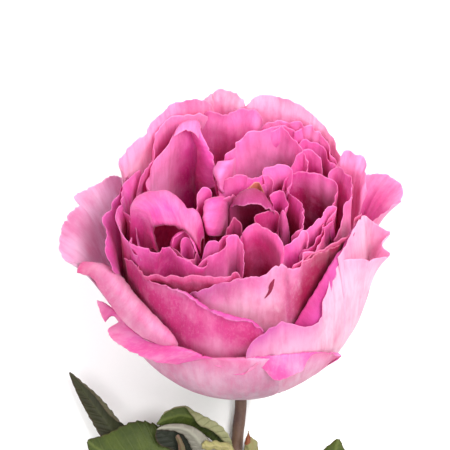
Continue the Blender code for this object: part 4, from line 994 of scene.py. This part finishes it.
def leaf_material(name, top, top_dark, under, vein_colour):
    m = Nodes(name)
    across, along, underside = m.parts("sheet_place")
    edge, tone_and_painted_light, side = m.parts("sheet_tint_and_painted_light")
    slant = m.math("SUBTRACT", along, m.math("MULTIPLY", m.math("ABSOLUTE", across), 0.8))
    wave = m.math("PINGPONG", slant, VEIN_STEP / 2)
    near_side_vein = m.range(wave, 0.0, 0.5, 1.0, 0.0)
    near_midrib = m.range(m.math("ABSOLUTE", across), 0.15, 0.75, 1.0, 0.0)
    web = m.noise(m.vector(across, along, tone_and_painted_light), 0.9, 5, 0.65)
    patch = m.noise(m.vector(across, along, tone_and_painted_light), 0.09, 3, 0.55)
    upper = m.mix(m.range(patch, 0.3, 0.7, smooth=True), top, top_dark)
    upper = m.mix(m.math("MULTIPLY", near_side_vein, 0.18), upper, vein_colour)
    upper = m.mix(m.range(web, 0.5, 0.72, 0.0, 0.3), upper, top_dark)
    upper = m.mix(m.math("MULTIPLY", near_midrib, 0.6), upper, vein_colour)
    lower = m.mix(m.range(web, 0.4, 0.7, 0.0, 0.25), under, vein_colour)
    lower = m.mix(m.math("MULTIPLY", m.math("MAXIMUM", near_midrib, near_side_vein), 0.3), lower, vein_colour)
    colour = m.mix(underside, upper, lower)
    # A tone above 0 makes the leaf a lighter green. A tone below 0 makes it darker and browner, which on the dark
    # folded leaflet is partly painted shade.
    colour = m.mix(m.math("MAXIMUM", tone_and_painted_light, 0.0, clamp=True), colour, linear(78, 92, 48))
    colour = m.mix(m.math("MULTIPLY", tone_and_painted_light, -1.0, clamp=True), colour, linear(52, 48, 40))
    colour = m.mix(m.range(edge, 0.1, 0.7, 0.45, 0.0), colour, linear(70, 46, 34))
    shader = m.add("ShaderNodeBsdfPrincipled")
    m.put(shader.inputs["Base Color"], colour)
    shader.inputs["Roughness"].default_value = 0.55
    shader.inputs["Specular IOR Level"].default_value = 0.25
    height = m.math("SUBTRACT", m.math("MULTIPLY", web, 0.8), m.math("MULTIPLY", near_side_vein, 0.5))
    m.put(shader.inputs["Normal"], m.bump(height, 0.6, 0.0005))
    thin = m.add("ShaderNodeBsdfTranslucent")
    m.put(thin.inputs["Color"], colour)
    both = m.add("ShaderNodeMixShader")
    both.inputs[0].default_value = 0.12
    m.tree.links.new(shader.outputs[0], both.inputs[1])
    m.tree.links.new(thin.outputs[0], both.inputs[2])
    out = m.add("ShaderNodeOutputMaterial")
    m.tree.links.new(both.outputs[0], out.inputs["Surface"])
    return m.material


def stalk_material(name, base, other, streak, scale, roughness):
    """A stalk's skin: two colours in patches, with fine streaks."""
    m = Nodes(name)
    where = m.add("ShaderNodeTexCoord").outputs["Object"]
    patch = m.noise(where, scale, 4, 0.6)
    grain = m.noise(where, scale * 9, 5, 0.7)
    colour = m.mix(m.range(patch, 0.35, 0.65, smooth=True), base, other)
    colour = m.mix(m.range(grain, 0.5, 0.75, 0.0, 0.45), colour, streak)
    shader = m.add("ShaderNodeBsdfPrincipled")
    m.put(shader.inputs["Base Color"], colour)
    shader.inputs["Roughness"].default_value = roughness
    m.put(shader.inputs["Normal"], m.bump(grain, 0.5, 0.0004))
    out = m.add("ShaderNodeOutputMaterial")
    m.tree.links.new(shader.outputs[0], out.inputs["Surface"])
    return m.material


MATERIALS["leaf"] = leaf_material(
    "leaf", linear(68, 80, 22), linear(42, 54, 16), linear(152, 150, 112), linear(92, 102, 46))
MATERIALS["grey_leaf"] = leaf_material(
    "grey_leaf", linear(150, 146, 134), linear(136, 132, 120), linear(150, 146, 134), linear(158, 156, 140))
# Painted shade: near-black green for the inside of the curled leaflet, where shade falls.
MATERIALS["shaded_leaf"] = leaf_material(
    "shaded_leaf", linear(30, 34, 24), linear(22, 26, 18), linear(30, 34, 24), linear(38, 42, 28))
MATERIALS["sepal"] = leaf_material(
    "sepal", linear(84, 96, 46), linear(104, 98, 60), linear(84, 96, 46), linear(118, 112, 66))
MATERIALS["stipule"] = leaf_material(
    "stipule", linear(172, 162, 108), linear(146, 140, 88), linear(176, 168, 124), linear(178, 164, 118))
MATERIALS["bract"] = leaf_material(
    "bract", linear(98, 104, 58), linear(112, 70, 48), linear(130, 128, 84), linear(132, 104, 66))
MATERIALS["bract_tip"] = leaf_material(
    "bract_tip", linear(120, 44, 34), linear(96, 60, 36), linear(120, 44, 34), linear(140, 110, 60))
MATERIALS["stem"] = stalk_material(
    "stem", linear(74, 44, 36), linear(94, 66, 48), linear(50, 30, 26), 160.0, 0.55)
MATERIALS["stalk"] = stalk_material(
    "stalk", linear(86, 82, 48), linear(98, 70, 54), linear(66, 56, 36), 300.0, 0.5)
MATERIALS["hip"] = stalk_material(
    "hip", linear(84, 94, 50), linear(100, 104, 60), linear(64, 72, 40), 200.0, 0.55)
MATERIALS["pistil"] = stalk_material(
    "pistil", linear(196, 150, 66), linear(214, 174, 92), linear(150, 104, 50), 900.0, 0.6)


def finish_node(node, look):
    """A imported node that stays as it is, with a better material."""
    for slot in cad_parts[node].material_slots:
        slot.material = MATERIALS[look]


for node in ("hip", "pistil"):
    finish_node(node, node)
for number, azimuth in enumerate(SEPAL_AZIMUTHS, 1):
    sepal(number, azimuth)

# The stem and the rachises, from the cup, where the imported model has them
STEM_ROUTE = [(0, -36.95, -36.95), (0.3, -40.4, -39.1), (0.4, -45.5, -40.15), (-0.5, -54, -40.2), (-1.4, -66, -40.2),
              (-1.2, -90, -40.2), (0.4, -118, -40.1), (1, -146, -40.1), (0, -186, -40)]
LEFT_RACHIS = [(-4.2, -63, -39.2), (-13, -73.5, -38), (-33, -83, -35), (-54, -88, -34.5)]
RIGHT_RACHIS = [(2.6, -112, -39), (16, -108, -33), (34, -104, -28.5), (52, -104, -31.5)]
stalk_piece("stem", STEM_ROUTE, 1.95, 2.15, "stem", [(0.185, 0.2, 2.5), (0.515, 0.2, 2.5)], 240, 32, 71)
stalk_piece("left_leaf_rachis", LEFT_RACHIS, 0.8, 0.45, "stalk", [(0.27, 0.25, 1.5), (0.44, 0.25, 1.5)], seed=72)
stalk_piece("right_leaf_rachis", RIGHT_RACHIS, 0.8, 0.45, "stalk", [(0.5, 0.25, 1.5)], seed=73)

# Feet and tips of the leaflets, from the cup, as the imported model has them
leaflet("left_leaf_leaflet_1", (-10.5, -70.5, -37.4), (-50.0, -57.0, -31.0), 13.0, 6.5, tone_and_painted_light=0.1, seed=61)
leaflet("left_leaf_leaflet_2", (-24.5, -80.5, -37.6), (-22.0, -116.0, -41.3), 12.0, 6.0, seed=62)
leaflet("left_leaf_leaflet_3", (-24.5, -78.0, -36.8), (-56.0, -34.2, -37.5), 6.5, 1.0, fold=(35, 30, 20),
        curl=(0, 10, 0), tone_and_painted_light=-0.7, left_share=0.72, roll=125, seed=63)
leaflet("left_leaf_leaflet_4", (-42.5, -86.8, -36.2), (-49.0, -127.0, -41.3), 12.5, 6.0, seed=64)
leaflet("left_leaf_leaflet_5", (-54.6, -88.0, -34.8), (-98.0, -98.0, -41.3), 13.5, 7.0, seed=65)
leaflet("right_leaf_leaflet_1", (14.0, -110.0, -35.0), (22.0, -146.0, -41.3), 12.0, 6.0, seed=66)
leaflet("right_leaf_leaflet_2", (22.5, -104.0, -31.0), (32.0, -56.0, -33.0), 11.0, 6.0, fold=(18, 14, 8), seed=67)
leaflet("right_leaf_leaflet_3", (38.0, -105.0, -29.5), (47.0, -146.0, -41.3), 13.0, 6.0, seed=68)
leaflet("right_leaf_leaflet_4", (43.5, -102.5, -30.0), (64.0, -66.0, -41.3), 12.5, 7.0, seed=69)
leaflet("right_leaf_leaflet_5", (52.6, -104.0, -31.8), (94.0, -112.0, -41.3), 14.0, 7.0, seed=70)

UPPER_NEAR = [(229, 451, 3), (222, 447, 6), (214, 442, 9.5), (206, 436, 12.5), (198, 430, 15), (190, 426.5, 17),
              (181, 425, 18.5), (172, 425.5, 19.2), (164, 426, 19.4), (157, 424.5, 19.4)]
UPPER_MIDDLE = [(230, 448, 4), (222, 440, 8), (214, 433.5, 12), (206, 427.5, 15.5), (198, 421.5, 18), (190, 416.5, 20),
                (181, 413.5, 21), (172, 415, 21.3), (164, 418.5, 21), (157, 424, 19.6)]
UPPER_FOLD = [(232.5, 445, 5), (229, 436, 8.5), (222, 427, 12), (212, 420, 15.5), (202.5, 415.5, 18.4),
              (193.5, 410.5, 20.4), (183, 405.8, 21.4), (172, 408.6, 21.5), (164, 413, 21.1), (157.5, 423, 19.7)]
UPPER_EDGE = [(228.5, 445, 6.5), (223, 441, 10), (216, 434, 14), (207.5, 428.5, 17.4), (199.5, 425.5, 19.6),
              (193, 417, 21.4), (184.5, 407.5, 22), (172, 409.6, 22), (164.5, 414, 21.5), (157.5, 423.4, 19.9)]
lofted_leaf("upper_leaf", [UPPER_EDGE, UPPER_FOLD, UPPER_MIDDLE, UPPER_NEAR], tone_and_painted_light=0.1, node="upper_leaf")

# The curled leaflet between them, seen from its pale underside over its inside, which is a dark sheet of painted shade,
# and what stands by the stem
ARC_OUTER = [(226, 461, 5), (217, 449.5, 9.5), (210, 440.5, 14), (203, 433.5, 17), (196, 428.3, 19.4),
             (187.5, 424.8, 20.6), (176, 423.6, 21), (164.5, 425, 20.6), (156.5, 429, 19)]
ARC_MIDDLE = [(211, 461, 7), (205, 450, 12), (200, 442, 16.5), (194.5, 435.5, 19.4), (189, 430.2, 21), (181.5, 427.4, 21.4),
              (171, 427, 21.2), (161.5, 427.8, 20.2), (156.6, 429.2, 18.8)]
ARC_INNER = [(195, 462, 5), (192.5, 452, 10), (189.8, 445, 14), (186.3, 438.5, 17), (182, 434, 18.6), (174, 430.8, 19.6),
             (166, 429.8, 19.6), (160, 429.6, 19), (156.7, 429.5, 18.4)]
lofted_leaf("curled_leaflet", [ARC_OUTER, ARC_MIDDLE, ARC_INNER], look="grey_leaf")
SHADE_TOP = [(198, 466, 3), (195, 452, 9), (191, 444, 13), (187, 437, 16), (180, 432, 17.6), (169, 430, 18.2),
             (157.5, 429.8, 18)]
SHADE_LOW = [(184, 466, 5), (181, 458, 9.5), (176, 452, 13.5), (168, 448, 16), (160, 445, 17), (155.5, 438, 17.6),
             (156, 431, 17.8)]
lofted_leaf("curled_inside", [SHADE_LOW, SHADE_TOP], look="shaded_leaf")
lofted_leaf("leaflet_stalk", [[(175.5, 437, 18.8), (178, 444, 18), (178.5, 454, 15), (178, 463, 10)],
                              [(177.5, 434.5, 19.4), (181, 443, 18.6), (182.5, 453, 15.6), (183, 463, 10.6)],
                              [(179.5, 436, 18.6), (183.5, 443.5, 17.8), (186, 453, 15), (187, 463, 10)]],
            look="stalk")
STIPULE = [[(235, 460, 6), (231, 451, 10), (226.5, 445.5, 13), (221, 446, 14), (216, 443, 15.6), (210, 444.5, 16),
            (206, 442.6, 16.8), (202, 445, 16)],
           [(237, 457, 7.5), (233.5, 448, 11.5), (228, 442.3, 14.8), (222, 442.6, 15.6), (216.5, 440.6, 17),
            (210.5, 441.6, 17.2), (206, 440.4, 17.8), (201.5, 443.6, 16.5)],
           [(233, 462, 5), (228, 454, 9), (224, 450, 11.4), (219, 450.5, 12.4), (214, 449, 13.4), (209, 450.5, 14),
            (205, 449.5, 14.6), (201.5, 448, 15)]]
lofted_leaf("stipule", [STIPULE[1], STIPULE[0], STIPULE[2]], look="stipule")
BRACT = [[(243, 462, 4), (244, 450, 6), (245, 441, 7.4), (247, 437, 8)],
         [(248, 462, 5), (250, 450, 7.4), (250, 441, 8.6), (249, 436, 9)],
         [(256, 460, 3), (258, 449, 4.4), (256.5, 441, 5.8), (251, 437, 8)]]
lofted_leaf("bract", BRACT, look="bract")
BRACT_TIP = [[(244.5, 444, 8), (245.5, 439, 9), (247, 435, 9.6), (248, 431, 10)],
             [(247.5, 445, 9), (248, 440, 9.8), (248.4, 435, 10), (248.4, 431, 10.2)],
             [(251.5, 441, 8), (250.5, 438, 9), (249.6, 434.5, 9.6), (248.8, 431, 10)]]
lofted_leaf("bract_tip", BRACT_TIP, look="bract_tip", rows=24, columns=13)

# The floor, the light and the camera

floor_mesh = bpy.data.meshes.new("floor")
floor_mesh.from_pydata([(-2, -2, 0), (2, -2, 0), (2, 2, 0), (-2, 2, 0)], [], [(0, 1, 2, 3)])
floor = bpy.data.objects.new("floor", floor_mesh)
bpy.context.scene.collection.objects.link(floor)
f = Nodes("floor")
f_shader = f.add("ShaderNodeBsdfPrincipled")
f_shader.inputs["Roughness"].default_value = 0.9
f_noise = f.noise(f.add("ShaderNodeTexCoord").outputs["Object"], 900.0, 2)
f.put(f_shader.inputs["Base Color"], f.mix(f_noise, (0.95, 0.95, 0.95, 1), (0.98, 0.98, 0.98, 1)))
f_out = f.add("ShaderNodeOutputMaterial")
f.tree.links.new(f_shader.outputs[0], f_out.inputs["Surface"])
floor_mesh.materials.append(f.material)

world = bpy.data.worlds.new("studio")
bpy.context.scene.world = world
world.use_nodes = True
world.node_tree.nodes["Background"].inputs["Color"].default_value = (1, 1, 1, 1)
world.node_tree.nodes["Background"].inputs["Strength"].default_value = 0.95


def area_light(name, place, aim, size, power):
    data = bpy.data.lights.new(name, "AREA")
    data.shape = "DISK"
    data.size = size
    data.energy = power
    lamp = bpy.data.objects.new(name, data)
    bpy.context.scene.collection.objects.link(lamp)
    lamp.location = place
    lamp.rotation_mode = "QUATERNION"
    lamp.rotation_quaternion = (Vector(aim) - Vector(place)).to_track_quat("-Z", "Y")
    return lamp


area_light("key", (0.6, 0.4, 1.3), (0, 0.06, 0.04), 0.8, 26)
area_light("fill", (-0.8, -0.2, 1.3), (0, 0.06, 0.04), 1.2, 9)

camera_data = bpy.data.cameras.new("camera")
camera_data.sensor_width = SENSOR
camera_data.lens = SENSOR * CAMERA_RISE / (PICTURE * PIXEL)
camera_data.clip_start = 0.05
camera_data.clip_end = 20
camera = bpy.data.objects.new("camera", camera_data)
bpy.context.scene.collection.objects.link(camera)
camera.location = (CUP + (CAMERA_ACROSS, CAMERA_UP, CAMERA_RISE)) * MM
bpy.context.scene.camera = camera

bpy.context.scene.view_settings.view_transform = "Standard"
